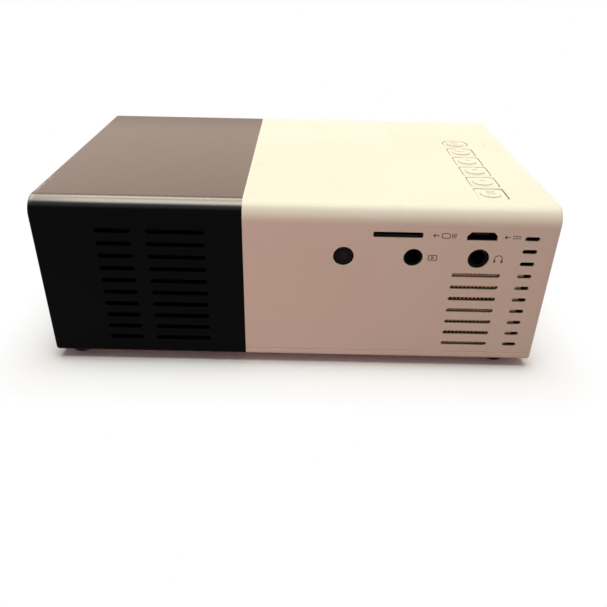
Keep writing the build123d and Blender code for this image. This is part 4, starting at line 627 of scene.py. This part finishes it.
def makeFloor():
    # a flat square: it is lit and shaded under the object and close round it, and plain white further out,
    # by the distance from the case's footprint, length(max(|place| - half size, 0)); the light it sends
    # back is a warm table top's, brighter towards the dark end
    half = stage["floorSize"] / 2
    corners = [(-half, -half, 0), (half, -half, 0), (half, half, 0), (-half, half, 0)]
    mesh = bpy.data.meshes.new("floor")
    mesh.from_pydata(corners, [], [(0, 1, 2, 3)])
    floor = bpy.data.objects.new("floor", mesh)
    bpy.context.scene.collection.objects.link(floor)
    finish = Finish("floor", Roughness=0.9)
    seen = finish.node("ShaderNodeLightPath", output="Is Camera Ray")
    for kind in ("Is Glossy Ray", "Is Transmission Ray"):
        seen = seen.most(finish.node("ShaderNodeLightPath", output=kind))
    table = finish.blend(finish.x.above(*stage["floorTurn"]), stage["floorFar"], stage["floorNear"])
    finish.feed("Base Color", finish.blend(seen, table, stage["floorSeen"]))
    finish.bump(finish.noise(2.5, detail=2), 0.02, strength=0.2)
    outX = (abs(finish.x) - caseEnd).most(0)
    outY = (abs(finish.y) - caseFace).most(0)
    away = (outX ** 2 + outY ** 2) ** 0.5
    white = (away.above(*stage["whiteReach"]) ** 0.5) * seen
    glow = finish.node("ShaderNodeEmission", None, {"Color": (1, 1, 1, 1), "Strength": 1.0})
    lit = Signal(finish, finish.shader.outputs[0])
    mixed = finish.node("ShaderNodeMixShader", None, {0: white, 1: lit, 2: glow})
    finish.tree.links.new(mixed.socket, finish.tree.nodes["Material Output"].inputs["Surface"])
    mesh.materials.append(finish.material)


def makeWorld():
    # white where it is seen, mirrored or looked through, and a soft fill for everything else
    world = bpy.data.worlds.new("studio")
    bpy.context.scene.world = world
    world.use_nodes = True
    nodes, links = world.node_tree.nodes, world.node_tree.links
    rays = nodes.new("ShaderNodeLightPath")
    fill = nodes["Background"]
    fill.inputs["Color"].default_value = (*stage["fill"], 1)
    white = nodes.new("ShaderNodeBackground")
    white.inputs["Color"].default_value = (1, 1, 1, 1)
    seen = rays.outputs["Is Camera Ray"]
    for kind in ("Is Glossy Ray", "Is Transmission Ray"):
        either = nodes.new("ShaderNodeMath")
        either.operation = "MAXIMUM"
        links.new(seen, either.inputs[0])
        links.new(rays.outputs[kind], either.inputs[1])
        seen = either.outputs[0]
    mixed = nodes.new("ShaderNodeMixShader")
    for number, output in enumerate((seen, fill.outputs[0], white.outputs[0])):
        links.new(output, mixed.inputs[number])
    links.new(mixed.outputs[0], nodes["World Output"].inputs["Surface"])


lampAim = (0, 0, 0.02)
lamps = {
    # place, size across and up, the light that leaves each patch of it, colour; the two cards are only seen
    # mirrored, over the case as the sheen along its rounded edges and behind it as the sheen on its dark top
    "lamp_over": ((0.0, 0.06, 1.2), (1.0, 0.6), 5.0, (0.96, 0.99, 0.92)),
    "card_over": ((0.0, -0.3, 1.1), (1.2, 1.1), 6.2, (1.0, 0.9, 0.72)),
    "lamp_high": ((0.0, -0.75, 1.0), (1.0, 0.25), 2.0, (1.0, 0.98, 0.9)),
    "card_behind": ((0.0, -1.05, 0.5), (1.9, 0.9), 0.88, (1.0, 0.6, 0.36)),
}


def makeLamp(name, place, size, light, colour):
    lamp = bpy.data.lights.new(name, "AREA")
    lamp.shape = "RECTANGLE"
    lamp.size, lamp.size_y = size
    lamp.energy = light * pi * size[0] * size[1]
    lamp.color = colour
    holder = bpy.data.objects.new(name, lamp)
    bpy.context.scene.collection.objects.link(holder)
    towards = Vector(lampAim) - Vector(place)
    holder.matrix_world = Matrix.Translation(place) @ towards.to_track_quat("-Z", "Y").to_matrix().to_4x4()
    holder.visible_camera = False
    holder.visible_diffuse = not name.startswith("card")


# the camera: its place and lens in millimetres, its turns in degrees
view = {"place": (-1.81, 180.34, caseTop / mm + 51.45), "lens": 36.88, "sensor": 36,
        "shift": (0.00526, 0.0344), "tilt": 58.567, "roll": 1.216, "nearest": 5}


def makeCamera():
    # the photograph's own view, found from the case's edges
    camera = bpy.data.cameras.new("camera")
    camera.sensor_width, camera.lens = view["sensor"], view["lens"]
    camera.shift_x, camera.shift_y = view["shift"]
    camera.clip_start = view["nearest"] * mm
    holder = bpy.data.objects.new("camera", camera)
    bpy.context.scene.collection.objects.link(holder)
    turn = Matrix.Rotation(pi, 4, "Z") @ Matrix.Rotation(radians(view["tilt"]), 4, "X")
    turn = turn @ Matrix.Rotation(radians(view["roll"]), 4, "Z")
    holder.matrix_world = Matrix.Translation([part * mm for part in view["place"]]) @ turn
    bpy.context.scene.camera = holder


makeFloor()
makeWorld()
for name, values in lamps.items():
    makeLamp(name, *values)
makeCamera()
bpy.context.scene.view_settings.view_transform = "Standard"
print("stage, lamps and camera set")
